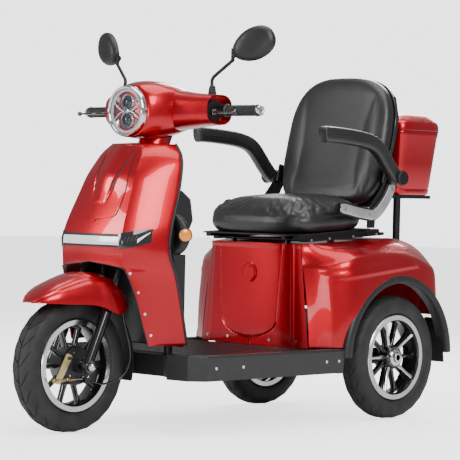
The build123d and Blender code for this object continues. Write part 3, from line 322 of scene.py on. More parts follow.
def heading(path: Sequence[Vector], i: int) -> Vector:
    """The direction of a path at one of its points."""
    return (path[min(i + 1, len(path) - 1)] - path[max(i - 1, 0)]).normalized()


def tube(name: str, points: Sequence[Sequence[float]], radius: float | Callable[[float], float],
         steps: int = 8, sides: int = 16, flatten: float = 1.0, up: Point = (0, 0, 1)) -> Object:
    """Sweeps a round or flattened section along a smooth path, with closed ends.

    Args:
        name: the object's name.
        points: the path's knots, in millimetres.
        radius: the section's radius, or a rule for it from 0 at the start to 1 at the end.
        steps: steps to each span.
        sides: corners of the section.
        flatten: the section's height over its width.
        up: the direction that counts as height.

    Returns:
        The object.
    """
    path = smooth_path(points, steps)
    rows = []
    for i, p in enumerate(path):
        along = heading(path, i)
        side = along.cross(Vector(up))
        side = side.normalized() if side.length > 0.05 else along.orthogonal().normalized()
        rise = side.cross(along)
        size = radius(i / (len(path) - 1)) if callable(radius) else radius
        rows.append([p + side * cos(tau * k / sides) * size + rise * sin(tau * k / sides) * size * flatten
                     for k in range(sides)])
    return grid(name, rows, True, True)


def superellipse(half_wide: float, half_high: float, power: float, count: int) -> list[tuple[float, float]]:
    """Points round a rounded rectangle: power 2 is an ellipse, higher is squarer."""
    return [(half_wide * signed_power(cos(tau * k / count), 2 / power),
             half_high * signed_power(sin(tau * k / count), 2 / power)) for k in range(count)]


def join(name: str, pieces: Sequence[Object]) -> Object:
    """Merges pieces into one object with one mesh.

    Args:
        name: the new object's name.
        pieces: objects without modifiers, which are removed.

    Returns:
        The merged object.
    """
    form = bmesh.new()
    for piece in pieces:
        form.from_mesh(piece.data)
    mesh = bpy.data.meshes.new(name)
    form.to_mesh(mesh)
    form.free()
    for piece in pieces:
        bpy.data.objects.remove(piece)
    return place(mesh, name)


def mirrored(piece: Object, name: str) -> Object:
    """A copy of a piece on the other side of the scooter, with its faces outward."""
    copy = piece.copy()
    copy.data = piece.data.copy()
    copy.name = name
    bpy.context.scene.collection.objects.link(copy)
    copy.data.transform(Matrix.Scale(-1, 4, (1, 0, 0)))
    copy.data.flip_normals()
    return copy


def freeze(piece: Object) -> Object:
    """Turns a piece's modifiers into plain mesh."""
    bpy.context.view_layer.update()
    seen = piece.evaluated_get(bpy.context.evaluated_depsgraph_get())
    mesh = bpy.data.meshes.new_from_object(seen)
    piece.modifiers.clear()
    piece.data = mesh
    return piece


# ---- Geometry Nodes ------------------------------------------------------------------------------
class Tree:
    """A Geometry Nodes tree under construction, with named inputs."""

    def __init__(self, name: str, inputs: Sequence[tuple[str, str]]) -> None:
        """Starts a tree.

        Args:
            name: the tree's name.
            inputs: pairs of input name and socket type, after the geometry.
        """
        self.group = bpy.data.node_groups.new(name, "GeometryNodeTree")
        self.ids: dict[str, str] = {}
        self.group.interface.new_socket(name="Geometry", in_out="INPUT", socket_type="NodeSocketGeometry")
        for label, kind in [*inputs, ("Material", "NodeSocketMaterial")]:
            socket = self.group.interface.new_socket(name=label, in_out="INPUT", socket_type=kind)
            self.ids[label] = socket.identifier
        self.group.interface.new_socket(name="Geometry", in_out="OUTPUT", socket_type="NodeSocketGeometry")
        self.source = self.group.nodes.new("NodeGroupInput")
        self.sink = self.group.nodes.new("NodeGroupOutput")

    def add(self, kind: str, **settings: object) -> bpy.types.Node:
        """Adds a node with its settings."""
        node = self.group.nodes.new(kind)
        for key, value in settings.items():
            setattr(node, key, value)
        return node

    def link(self, source: Socket, sink: Socket) -> None:
        """Joins two sockets."""
        self.group.links.new(source, sink)

    def close(self, geometry: Socket) -> None:
        """Ends the tree in real geometry with its material."""
        real = self.add("GeometryNodeRealizeInstances")
        dress = self.add("GeometryNodeSetMaterial")
        self.link(geometry, real.inputs["Geometry"])
        self.link(real.outputs["Geometry"], dress.inputs["Geometry"])
        self.link(self.source.outputs["Material"], dress.inputs["Material"])
        self.link(dress.outputs["Geometry"], self.sink.inputs["Geometry"])

    def apply(self, piece: Object, values: dict[str, object]) -> Object:
        """Runs the tree on a piece and keeps the result as its mesh.

        Args:
            piece: the object whose mesh goes in.
            values: input name to value.

        Returns:
            The same piece, without the modifier.
        """
        step = piece.modifiers.new("repeat", "NODES")
        step.node_group = self.group
        for label, value in values.items():
            step[self.ids[label]] = value
        freeze(piece)
        return piece


def ring_tree() -> Tree:
    """Repeats a form evenly round the X axis through a centre."""
    tree = Tree("ring_of_forms", [("Count", "NodeSocketInt"), ("Start", "NodeSocketFloat"),
                                  ("Centre", "NodeSocketVector")])
    points = tree.add("GeometryNodePoints")
    tree.link(tree.source.outputs["Count"], points.inputs["Count"])
    index = tree.add("GeometryNodeInputIndex")
    share = tree.add("ShaderNodeMath", operation="DIVIDE")
    tree.link(index.outputs[0], share.inputs[0])
    tree.link(tree.source.outputs["Count"], share.inputs[1])
    angle = tree.add("ShaderNodeMath", operation="MULTIPLY_ADD")
    tree.link(share.outputs[0], angle.inputs[0])
    angle.inputs[1].default_value = tau
    tree.link(tree.source.outputs["Start"], angle.inputs[2])
    euler = tree.add("ShaderNodeCombineXYZ")
    tree.link(angle.outputs[0], euler.inputs["X"])
    turn = tree.add("FunctionNodeEulerToRotation")
    tree.link(euler.outputs[0], turn.inputs[0])
    copies = tree.add("GeometryNodeInstanceOnPoints")
    tree.link(points.outputs[0], copies.inputs["Points"])
    tree.link(tree.source.outputs["Geometry"], copies.inputs["Instance"])
    tree.link(turn.outputs[0], copies.inputs["Rotation"])
    move = tree.add("GeometryNodeTransform")
    tree.link(copies.outputs[0], move.inputs["Geometry"])
    tree.link(tree.source.outputs["Centre"], move.inputs["Translation"])
    tree.close(move.outputs["Geometry"])
    return tree


def row_tree() -> Tree:
    """Repeats a form along a straight line."""
    tree = Tree("row_of_forms", [("Count", "NodeSocketInt"), ("Step", "NodeSocketVector")])
    line = tree.add("GeometryNodeMeshLine")
    tree.link(tree.source.outputs["Count"], line.inputs["Count"])
    tree.link(tree.source.outputs["Step"], line.inputs["Offset"])
    copies = tree.add("GeometryNodeInstanceOnPoints")
    tree.link(line.outputs[0], copies.inputs["Points"])
    tree.link(tree.source.outputs["Geometry"], copies.inputs["Instance"])
    tree.close(copies.outputs[0])
    return tree


def stud_tree() -> Tree:
    """Stands a stepped screw head on every point of a guide, along the guide's facing attribute."""
    tree = Tree("screw_heads", [("Radius", "NodeSocketFloat"), ("Height", "NodeSocketFloat")])
    facing = tree.add("GeometryNodeInputNamedAttribute", data_type="FLOAT_VECTOR")
    facing.inputs["Name"].default_value = "facing"
    aim = tree.add("FunctionNodeAlignRotationToVector", axis="Z")
    tree.link(facing.outputs[0], aim.inputs["Vector"])
    heads = tree.add("GeometryNodeJoinGeometry")
    for wide, tall in ((1.0, 0.6), (0.72, 1.0)):
        disc = tree.add("GeometryNodeMeshCylinder")
        disc.inputs["Vertices"].default_value = 18
        for label, share in (("Radius", wide), ("Height", tall)):
            part = tree.add("ShaderNodeMath", operation="MULTIPLY")
            part.inputs[1].default_value = share
            tree.link(tree.source.outputs[label], part.inputs[0])
            tree.link(part.outputs[0], disc.inputs["Radius" if label == "Radius" else "Depth"])
        tree.link(disc.outputs["Mesh"], heads.inputs[0])
    spots = tree.add("GeometryNodeMeshToPoints")
    tree.link(tree.source.outputs["Geometry"], spots.inputs["Mesh"])
    copies = tree.add("GeometryNodeInstanceOnPoints")
    tree.link(spots.outputs[0], copies.inputs["Points"])
    tree.link(heads.outputs[0], copies.inputs["Instance"])
    tree.link(aim.outputs[0], copies.inputs["Rotation"])
    tree.close(copies.outputs[0])
    return tree


class Repeaters:
    """The three repeating trees, built once."""

    def __init__(self) -> None:
        """Builds the trees."""
        self.ring, self.row, self.stud = ring_tree(), row_tree(), stud_tree()

    def studs(self, name: str, spots: Sequence[tuple[Point, Point]], radius: float, height: float,
              material: Material) -> Object:
        """Screw heads at places, each along its own direction.

        Args:
            name: the object's name.
            spots: pairs of place in millimetres and outward direction.
            radius: of a head, in millimetres.
            height: of a head, in millimetres.
            material: its finish.

        Returns:
            The heads as one object.
        """
        mesh = bpy.data.meshes.new(name)
        mesh.from_pydata([[c * MM for c in spot] for spot, _ in spots], [], [])
        attribute = mesh.attributes.new("facing", "FLOAT_VECTOR", "POINT")
        for i, (_, facing) in enumerate(spots):
            attribute.data[i].vector = Vector(facing).normalized()
        guide = place(mesh, name)
        return self.stud.apply(guide, {"Radius": radius * MM, "Height": height * MM, "Material": material})

    def round(self, form: Object, count: int, centre: Sequence[float], material: Material,
              start: float = 0.0) -> Object:
        """Repeats a form, modelled about the origin, round the X axis at a centre in millimetres."""
        return self.ring.apply(form, {
            "Count": count, "Start": start, "Centre": [c * MM for c in centre], "Material": material})

    def along(self, form: Object, count: int, step: Sequence[float],
              material: Material) -> Object:
        """Repeats a form in a row with a step in millimetres."""
        return self.row.apply(form, {"Count": count, "Step": [c * MM for c in step], "Material": material})


# ---- finishes ------------------------------------------------------------------------------------
class Shader:
    """A node material under construction."""

    def __init__(self, name: str) -> None:
        """Starts a material with one principled shader."""
        self.material = bpy.data.materials.new(name)
        self.material.use_nodes = True
        self.nodes, self.links = self.material.node_tree.nodes, self.material.node_tree.links
        self.main = next(n for n in self.nodes if n.type == "BSDF_PRINCIPLED")
        self.place = self.nodes.new("ShaderNodeTexCoord").outputs["Object"]

    def set(self, **values: object) -> None:
        """Sets the shader's sockets, with underscores for spaces."""
        for key, value in values.items():
            self.main.inputs[key.replace("_", " ")].default_value = value

    def noise(self, scale: float, detail: float, stretch: Point = (1, 1, 1)) -> Socket:
        """Noise over the object, from 0 to 1."""
        fit = self.nodes.new("ShaderNodeMapping")
        fit.inputs["Scale"].default_value = stretch
        self.links.new(self.place, fit.inputs["Vector"])
        node = self.nodes.new("ShaderNodeTexNoise")
        node.inputs["Scale"].default_value, node.inputs["Detail"].default_value = scale, detail
        node.inputs["Roughness"].default_value = 0.5
        self.links.new(fit.outputs[0], node.inputs["Vector"])
        return node.outputs["Fac"]

    def cells(self, scale: float) -> Socket:
        """Cell pattern distance over the object."""
        node = self.nodes.new("ShaderNodeTexVoronoi")
        node.inputs["Scale"].default_value = scale
        self.links.new(self.place, node.inputs["Vector"])
        return node.outputs["Distance"]

    def ramp(self, source: Socket, stops: PatchRows) -> Socket:
        """Turns a number into a colour by stops of place and colour."""
        node = self.nodes.new("ShaderNodeValToRGB")
        while len(node.color_ramp.elements) < len(stops):
            node.color_ramp.elements.new(0.5)
        for element, (at, colour) in zip(node.color_ramp.elements, stops):
            element.position = at
            element.color = (*colour, 1.0)
        self.links.new(source, node.inputs["Fac"])
        return node.outputs["Color"]

    def span(self, source: Socket, low: float, high: float) -> Socket:
        """Fits a 0 to 1 number between two limits."""
        node = self.nodes.new("ShaderNodeMapRange")
        node.inputs["To Min"].default_value, node.inputs["To Max"].default_value = low, high
        self.links.new(source, node.inputs["Value"])
        return node.outputs["Result"]

    def times(self, source: Socket, factor: float) -> Socket:
        """Multiplies a number."""
        node = self.nodes.new("ShaderNodeMath")
        node.operation = "MULTIPLY"
        self.links.new(source, node.inputs[0])
        node.inputs[1].default_value = factor
        return node.outputs[0]

    def bump(self, height: Socket, distance: float, strength: float = 1.0) -> None:
        """Adds relief of a depth in millimetres, on top of any already there."""
        node = self.nodes.new("ShaderNodeBump")
        node.inputs["Distance"].default_value, node.inputs["Strength"].default_value = distance * MM, strength
        self.links.new(height, node.inputs["Height"])
        if self.main.inputs["Normal"].is_linked:
            self.links.new(self.main.inputs["Normal"].links[0].from_socket, node.inputs["Normal"])
        self.links.new(node.outputs["Normal"], self.main.inputs["Normal"])

    def feed(self, socket: str, source: Socket) -> None:
        """Drives one of the shader's sockets."""
        self.links.new(source, self.main.inputs[socket])


@dataclass(frozen=True)
class Paint:
    """Candy metallic paint: flakes under a clear coat."""

    name: str = "candy_red"
    deep: Point = (0.36, 0.0, 0.006)
    bright: Point = (0.62, 0.0, 0.013)

    def build(self) -> Material:
        """Makes the material."""
        s = Shader(self.name)
        s.set(Metallic=0.8, Roughness=0.3, Coat_Weight=0.7, Coat_Roughness=0.035, Coat_IOR=1.45)
        s.feed("Base Color", s.ramp(s.noise(900, 2), [(0.3, self.deep), (0.62, self.bright)]))
        s.feed("Roughness", s.span(s.noise(6, 3), 0.26, 0.36))
        s.bump(s.noise(2400, 1), 0.012, 0.25)
        return s.material


@dataclass(frozen=True)
class Moulding:
    """Moulded plastic: grain, and gloss that varies a little."""

    name: str
    colour: Point
    roughness: float = 0.5
    grain: float = 0.05
    coat: float = 0.0

    def build(self) -> Material:
        """Makes the material."""
        s = Shader(self.name)
        s.set(Coat_Weight=self.coat, Coat_Roughness=0.06, Specular_IOR_Level=0.5)
        dark = tuple(c * 0.75 for c in self.colour)
        s.feed("Base Color", s.ramp(s.noise(35, 4), [(0.3, dark), (0.7, self.colour)]))
        s.feed("Roughness", s.span(s.noise(60, 3), self.roughness - 0.07, self.roughness + 0.07))
        s.bump(s.noise(1400, 2), self.grain, 0.6)
        return s.material


@dataclass(frozen=True)
class Metal:
    """Bare, plated or powder-coated metal."""

    name: str
    colour: Point
    roughness: float = 0.25
    metallic: float = 1.0
    brushed: float = 0.0

    def build(self) -> Material:
        """Makes the material."""
        s = Shader(self.name)
        s.set(Metallic=self.metallic)
        dull = tuple(c * 0.82 for c in self.colour)
        s.feed("Base Color", s.ramp(s.noise(18, 4), [(0.35, dull), (0.65, self.colour)]))
        s.feed("Roughness", s.span(s.noise(45, 4), self.roughness * 0.8, self.roughness * 1.25))
        if self.brushed:
            s.bump(s.noise(700, 2, stretch=(0.1, 1, 1)), self.brushed, 0.5)
        return s.material


@dataclass(frozen=True)
class Leather:
    """Black upholstery: fine pebble grain, soft creases and an uneven sheen."""

    name: str = "black_leather"
    colour: Point = (0.012, 0.012, 0.013)

    def build(self) -> Material:
        """Makes the material."""
        s = Shader(self.name)
        s.set(Specular_IOR_Level=0.6, Coat_Weight=0.12, Coat_Roughness=0.3)
        s.feed("Base Color", s.ramp(s.noise(9, 5), [(0.3, tuple(c * 0.6 for c in self.colour)),
                                                    (0.75, tuple(c * 1.5 for c in self.colour))]))
        s.feed("Roughness", s.span(s.noise(14, 5), 0.3, 0.46))
        s.bump(s.noise(7, 3, stretch=(1, 1, 0.7)), 2.4, 0.3)
        s.bump(s.noise(32, 4), 0.7, 0.35)
        s.bump(s.cells(480), 0.16, 0.5)
        return s.material


@dataclass(frozen=True)
class Rubber:
    """Tyre and grip rubber."""

    name: str
    colour: Point = (0.016, 0.016, 0.017)
    roughness: float = 0.62

    def build(self) -> Material:
        """Makes the material."""
        s = Shader(self.name)
        s.feed("Base Color", s.ramp(s.noise(22, 5), [(0.3, tuple(c * 0.7 for c in self.colour)),
                                                     (0.75, tuple(c * 1.7 for c in self.colour))]))
        s.feed("Roughness", s.span(s.noise(30, 4), self.roughness - 0.08, self.roughness + 0.08))
        s.bump(s.noise(900, 3), 0.08, 0.5)
        return s.material


@dataclass(frozen=True)
class Lamp:
    """A lens or light strip, lit from inside when glow is above zero; on the reflectors, which are no lamps, the glow
    is painted light.
    """

    name: str
    colour: Point
    glow: float = 0.0
    roughness: float = 0.12
    clear: float = 0.0

    def build(self) -> Material:
        """Makes the material."""
        s = Shader(self.name)
        s.set(Coat_Weight=1.0, Coat_Roughness=0.03, Emission_Strength=self.glow,
              Transmission_Weight=self.clear, IOR=1.45)
        s.main.inputs["Emission Color"].default_value = (*self.colour, 1.0)
        s.feed("Base Color", s.ramp(s.noise(40, 2), [(0.3, tuple(c * 0.88 for c in self.colour)),
                                                     (0.7, self.colour)]))
        s.feed("Roughness", s.span(s.noise(80, 2), self.roughness * 0.8, self.roughness * 1.2))
        return s.material


class Finish(Enum):
    """Every finish on the scooter."""

    RED = Paint()
    TRIM = Moulding("black_trim", (0.013, 0.013, 0.0145), 0.44, 0.06)
    GREY = Moulding("dark_grey_skirt", (0.02, 0.0205, 0.022), 0.42, 0.07)
    GLOSS = Moulding("gloss_black", (0.008, 0.008, 0.009), 0.16, 0.008, 0.8)
    FLOOR = Moulding("floor_mat_rubber", (0.013, 0.013, 0.014), 0.38, 0.05)
    LEATHER = Leather()
    TYRE = Rubber("tyre_rubber")
    GRIP = Rubber("grip_rubber", (0.014, 0.014, 0.015), 0.5)
    POWDER = Metal("black_powder_coat", (0.011, 0.011, 0.012), 0.4, 0.3)
    CHROME = Metal("chrome", (0.86, 0.87, 0.9), 0.07)
    MACHINED = Metal("machined_alloy", (0.82, 0.83, 0.85), 0.2, 1.0, 0.02)
    SILVER = Metal("silver_cover", (0.74, 0.75, 0.77), 0.32, 0.85)
    ZINC = Metal("yellow_zinc", (0.75, 0.62, 0.32), 0.3, 1.0, 0.02)
    STEEL = Metal("bright_steel", (0.6, 0.6, 0.62), 0.28, 1.0, 0.02)
    BRASS = Metal("brass", (0.8, 0.55, 0.22), 0.25)
    WHITE = Lamp("white_light", (0.9, 0.92, 0.95), 0.35)
    SMOKE = Lamp("smoked_lens", (0.02, 0.02, 0.022), 0.0, 0.08)
    # painted glow: the amber reflectors are no lamps, so their emission is painted light
    AMBER = Lamp("amber_reflector_painted_glow", (0.95, 0.28, 0.01), 0.12, 0.2)
    # its glow is also painted light on the rear reflector, which is no lamp
    TAIL = Lamp("tail_lens", (0.55, 0.01, 0.01), 0.08, 0.15)
    GLASS = Lamp("headlight_glass", (0.97, 0.98, 1.0), 0.0, 0.02, 1.0)
    MIRROR = Metal("mirror_glass", (0.9, 0.92, 0.94), 0.02)
    SCREEN = Lamp("display", (0.01, 0.03, 0.05), 0.0, 0.05)


class Wardrobe:
    """Builds each finish once and dresses pieces."""

    def __init__(self) -> None:
        """Starts with nothing built."""
        self.made: dict[Finish, Material] = {}

    def get(self, finish: Finish) -> Material:
        """The material of a finish."""
        if finish not in self.made:
            self.made[finish] = finish.value.build()
        return self.made[finish]

    def dress(self, piece: Object, finish: Finish) -> Object:
        """Puts a finish all over a piece."""
        piece.data.materials.clear()
        piece.data.materials.append(self.get(finish))
        return piece


# ---- shared building -----------------------------------------------------------------------------
@dataclass(frozen=True)
class Skin:
    """A smooth surface given by a rule from two numbers to a place in millimetres."""

    at: Callable[[float, float], Vector]
    behind: Point
    u_step: float = 0.01
    v_step: float = 1.0

    def frame(self, u: float, v: float) -> tuple[Vector, Vector]:
        """A place on the skin and its outward direction."""
        here = self.at(u, v)
        across = self.at(u + self.u_step, v) - self.at(u - self.u_step, v)
        along = self.at(u, v + self.v_step) - self.at(u, v - self.v_step)
        away = here - Vector(self.behind)
        normal = across.cross(along)
        if normal.length < 1e-9:
            normal = away
        return here, (normal if normal.dot(away) > 0 else -normal).normalized()

    def patch(self, name: str, rows: PatchRows, out: float, thick: float,
              relief: Callable[[float, float], float] | None = None) -> Object:
        """A closed panel lying on the skin.

        Args:
            name: the object's name.
            rows: pairs of v and its run of u values, all equally long.
            out: how far its face stands off the skin, in millimetres.
            thick: its wall, in millimetres.
            relief: extra height of the face at u and v, in millimetres.

        Returns:
            The panel.
        """
        face, back = [], []
        for v, us in rows:
            for u in us:
                here, normal = self.frame(u, v)
                face.append(here + normal * (out + (relief(u, v) if relief else 0.0)))
                back.append(here + normal * (out - thick))
        return double_sheet(name, face, back, len(rows), len(rows[0][1]))


def double_sheet(name: str, face: Sequence[Vector], back: Sequence[Vector], tall: int, wide: int,
                 sharp_angle: float = 30.0) -> Object:
    """Closes two matching grids of points into one solid sheet."""
    count = tall * wide
    faces = []
    for r in range(tall - 1):
        for c in range(wide - 1):
            a, b, d, e = r * wide + c, r * wide + c + 1, (r + 1) * wide + c + 1, (r + 1) * wide + c
            faces += [(a, b, d, e), (count + e, count + d, count + b, count + a)]
    rim = ([(0, c) for c in range(wide)] + [(r, wide - 1) for r in range(1, tall)]
           + [(tall - 1, c) for c in range(wide - 2, -1, -1)] + [(r, 0) for r in range(tall - 2, 0, -1)])
    for i, (r, c) in enumerate(rim):
        r2, c2 = rim[(i + 1) % len(rim)]
        a, b = r * wide + c, r2 * wide + c2
        faces.append((b, a, count + a, count + b))
    return build_mesh(name, [*face, *back], faces, sharp_angle)


@dataclass
class Kit:
    """What every sub-assembly builds with."""

    layout: Layout
    wardrobe: Wardrobe
    repeaters: Repeaters
    nodes: dict[str, Object]


@dataclass
class SubAssembly:
    """A group of pieces that are built together, most of them on one home body."""

    kit: Kit
    home: Body = Body.CHASSIS

    def wear(self, piece: Object, finish: Finish, *nodes: str, body: Body | None = None) -> Object:
        """Dresses a piece, fixes it to a body and lets it stand for CAD nodes.

        Args:
            piece: the object.
            finish: its finish.
            nodes: CAD nodes it stands for.
            body: the body it rides on, if it isn't the home body.

        Returns:
            The same piece.
        """
        self.kit.wardrobe.dress(piece, finish)
        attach(piece, (body or self.home).value)
        if nodes:
            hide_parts(*nodes)
        log.info("built %s", piece.name)
        return piece

    def both(self, piece: Object, name: str, finish: Finish, *nodes: str, body: Body | None = None,
             other_body: Body | None = None, other_node: str = "") -> tuple[Object, Object]:
        """Keeps a left-hand piece and its mirror image.

        Args:
            piece: the left-hand piece.
            name: both names without their left and right endings.
            finish: their finish.
            nodes: CAD nodes that the left one stands for.
            body: the left one's body, if it isn't the home body.
            other_body: the right one's body, if it isn't the left one's.
            other_node: the CAD node that the right one stands for.

        Returns:
            The left and the right piece.
        """
        freeze(piece)
        other = mirrored(piece, f"{name}_right")
        piece.name = f"{name}_left"
        self.wear(piece, finish, *nodes, body=body)
        self.wear(other, finish, *([other_node] if other_node else []), body=other_body or body)
        return piece, other

    def studs(self, name: str, spots: Sequence[tuple[Point, Point]], radius: float, height: float, finish: Finish,
              *nodes: str, body: Body | None = None) -> None:
        """Screw heads on guide points, by the stud tree."""
        heads = self.kit.repeaters.studs(name, spots, radius, height, self.material(finish))
        self.wear(heads, finish, *nodes, body=body)

    def material(self, finish: Finish) -> Material:
        """The material of a finish."""
        return self.kit.wardrobe.get(finish)


# ---- wheels --------------------------------------------------------------------------------------
@dataclass
class Wheel(SubAssembly):
    """A tyre with tread, a rim with spokes and a hub.

    The profile numbers are distances along the axle and radii, in millimetres.
    """

    name: str = "front"
    x: float = 0.0
    y: float = 0.0
    face: int = 0
    radius: float = AXLE_HEIGHT
    half_width: float = 41.0
    bead: float = 132.0
    lip: float = 141.0
    rim_half: float = 36.0
    tread_blocks: int = 22

    @property
    def centre(self) -> Point:
        """The middle of the wheel."""
        return (self.x, self.y, self.radius)

    def build(self) -> None:
        """Builds the wheel's pieces."""
        self.tyre()
        self.rim()

    def tyre(self) -> None:
        """The carcass, with its bead ridge, and a ring of chevron blocks."""
        h, r = self.half_width, self.radius
        lip = self.lip
        carcass = [(-28, self.bead), (-29.5, lip + 1.5), (-33, lip + 5), (-36, lip + 6), (-38.5, lip + 12),
                   (-40.6, lip + 22), (-h, r - 34), (-40.2, r - 24), (-37.6, r - 15.5), (-33, r - 10.5),
                   (-24, r - 6.6), (-12, r - 4.6), (0, r - 4.0)]
        loop = carcass + [(-a, rad) for a, rad in carcass[-2::-1]]
        body = lathe(f"{self.name}_carcass", loop, self.centre, ACROSS, 96, sharp_angle=50)
        chevron = self.chevron()
        tread = self.kit.repeaters.round(chevron, self.tread_blocks, self.centre, self.material(Finish.TYRE))
        tyre = join(f"{self.name}_tyre_skin", [body, tread])
        self.wear(tyre, Finish.TYRE, f"{self.node}tyre{self.side}")

    @property
    def node(self) -> str:
        """The start of this wheel's CAD node names."""
        return "front_" if self.name == "front" else "rear_"

    @property
    def side(self) -> str:
        """The end of this wheel's CAD node names."""
        return "" if self.name == "front" else f"_{self.name.split('_')[1]}"

    def chevron(self) -> Object:
        """One pair of long tread blocks that sweep back to the shoulders, at the top of the wheel."""
        return join(f"{self.name}_chevron", [self.lug(1, 0.0), self.lug(-1, 4.5)])

    def lug(self, sign: int, shift: float) -> Object:
        """One block of tread: a curved bar from the middle to the shoulder, starting at an angle in degrees."""
        steps, half_turn = 12, pi / self.tread_blocks - 0.011
        face, back = [], []
        for c in (-1, 1):
            for i in range(steps):
                t = i / (steps - 1)
                x = 1.8 + (self.half_width - 4.4) * t
                lean = radians(shift + 15 * t ** 1.5) + c * half_turn * (1 - 0.1 * t ** 4)
                end_drop = 1.2 if i in (0, steps - 1) else 0
                crown = self.radius - 0.0052 * x * x * (1 + 0.8 * (x / 38) ** 4) - end_drop
                for bank, rad in ((face, crown), (back, crown - 8)):
                    bank.append(Vector((sign * x, rad * sin(lean), rad * cos(lean))))
        return double_sheet("lug", face, back, 2, steps, 20)

    def rim(self) -> None:
        """The barrel, the machined lip, the spokes and the hub."""
        w, b, lip = self.rim_half, self.bead - 0.3, self.lip
        barrel = [(-w + 0.6, b - 8), (-w, lip - 1.5), (-w + 2.4, lip), (-w + 5, lip - 1), (-w + 7, b), (w - 7, b),
                  (w - 5, lip - 1), (w - 2.4, lip), (w, lip - 1.5), (w - 0.6, b - 8), (w - 14, b - 15),
                  (-w + 14, b - 15)]
        skin = lathe(f"{self.name}_barrel", barrel, self.centre, ACROSS, 96, sharp_angle=28)
        hub = lathe(f"{self.name}_hub", self.hub_profile(), self.centre, ACROSS, 48, sharp_angle=28)
        spokes = self.kit.repeaters.round(self.spoke(), 10, self.centre, self.material(Finish.GLOSS), radians(18))
        rim = join(f"{self.name}_rim_skin", [skin, hub, spokes])
        self.wear(rim, Finish.GLOSS, f"{self.node}rim{self.side}")
        for s in (-1, 1):
            bright = [(s * (w - 0.4), b - 7.5), (s * (w + 0.35), lip - 1.8), (s * (w - 2.2), lip + 0.5),
                      (s * (w - 3.4), lip - 0.8), (s * (w - 1.6), lip - 3.5), (s * (w - 2.2), b - 7)]
            ring = lathe(f"{self.name}_lip_{'out' if s == 1 else 'in'}", bright, self.centre, ACROSS, 96, 28)
            self.wear(ring, Finish.MACHINED)
        if self.face:
            self.star()
        else:
            self.front_details()

    def hub_profile(self) -> list[tuple[float, float]]:
        """The hub's section."""
        if self.face:
            return [(-33, 10.5), (-33, 36), (-28, 38), (28, 38), (33, 35), (33, 10.5)]
        return [(-30, 7), (-30, 30), (-22, 58), (-14, 60), (29.6, 60), (29.6, 54), (12, 53), (12, 14), (29.6, 14),
                (29.6, 7)]

    def spoke(self) -> Object:
        """One cast spoke, widening into the hub and the barrel."""
        inner = 34.0 if self.face else 52.0
        rows = []
        for i in range(9):
            t = i / 8
            rad = inner + (self.bead - 12 - inner) * t
            flare = 1 + 0.75 * (2 * t - 1) ** 4
            half, deep = 6.2 * flare, 9.5 * (1 + 0.25 * (1 - t))
            rows.append([Vector((a * deep, c * half, rad)) for a, c in superellipse(1.0, 1.0, 3.2, 14)])
        return grid(f"{self.name}_spoke", rows, True, True)

    def star(self) -> None:
        """Five bright slender blades over the spokes on the outer face, and a stepped chrome cap."""
        rows = []
        for i in range(11):
            t = i / 10
            rad = 25 + (self.bead - 8 - 25) * t
            half = 4.4 + 3.0 * (1 - t) ** 2 + 2.2 * t ** 6
            lift = self.face * (14.5 + 11.0 * t ** 2)
            section = ((-half, -3), (-half, 1.2), (-half * 0.55, 3.2), (half * 0.55, 3.2), (half, 1.2), (half, -3))
            rows.append([Vector((lift + self.face * h, c, rad)) for c, h in section])
        blade = grid(f"{self.name}_blade", rows, True, True, 25)
        star = self.kit.repeaters.round(blade, 5, self.centre, self.material(Finish.MACHINED), radians(90))
        star.name = f"{self.name}_star"
        self.wear(star, Finish.MACHINED)
        s = self.face
        cap = lathe(f"{self.name}_cap", [(s * 30, 0), (s * 46, 0), (s * 46, 13), (s * 44.5, 15), (s * 40, 15.5),
                                         (s * 38.5, 26), (s * 36.5, 28), (s * 30, 28)], self.centre, ACROSS, 48,
                    sharp_angle=28)
        self.wear(cap, Finish.CHROME)
        self.studs(f"{self.name}_lug_nuts", [
            ((self.x + s * 33.5, self.y + 31.5 * cos(radians(a)), self.radius + 31.5 * sin(radians(a))), (s, 0, 0))
            for a in range(0, 360, 72)], 2.6, 3.4, Finish.STEEL)

    def front_details(self) -> None:
        """The disc face on the right and the valve stem."""
        valve = tube("front_valve", [(9, self.y + 92, self.radius + 68), (17, self.y + 88, self.radius + 64),
                                     (23, self.y + 80, self.radius + 58)], lambda t: 3.4 - 1.2 * t, 5, 12)
        self.wear(valve, Finish.TRIM)
        cover = [(-30.4, 8), (-34, 8), (-34.6, 20), (-33, 27), (-30.4, 30)]
        dish = lathe("front_hub_cover", cover, self.centre, ACROSS, 48, 28)
        self.wear(dish, Finish.MACHINED)


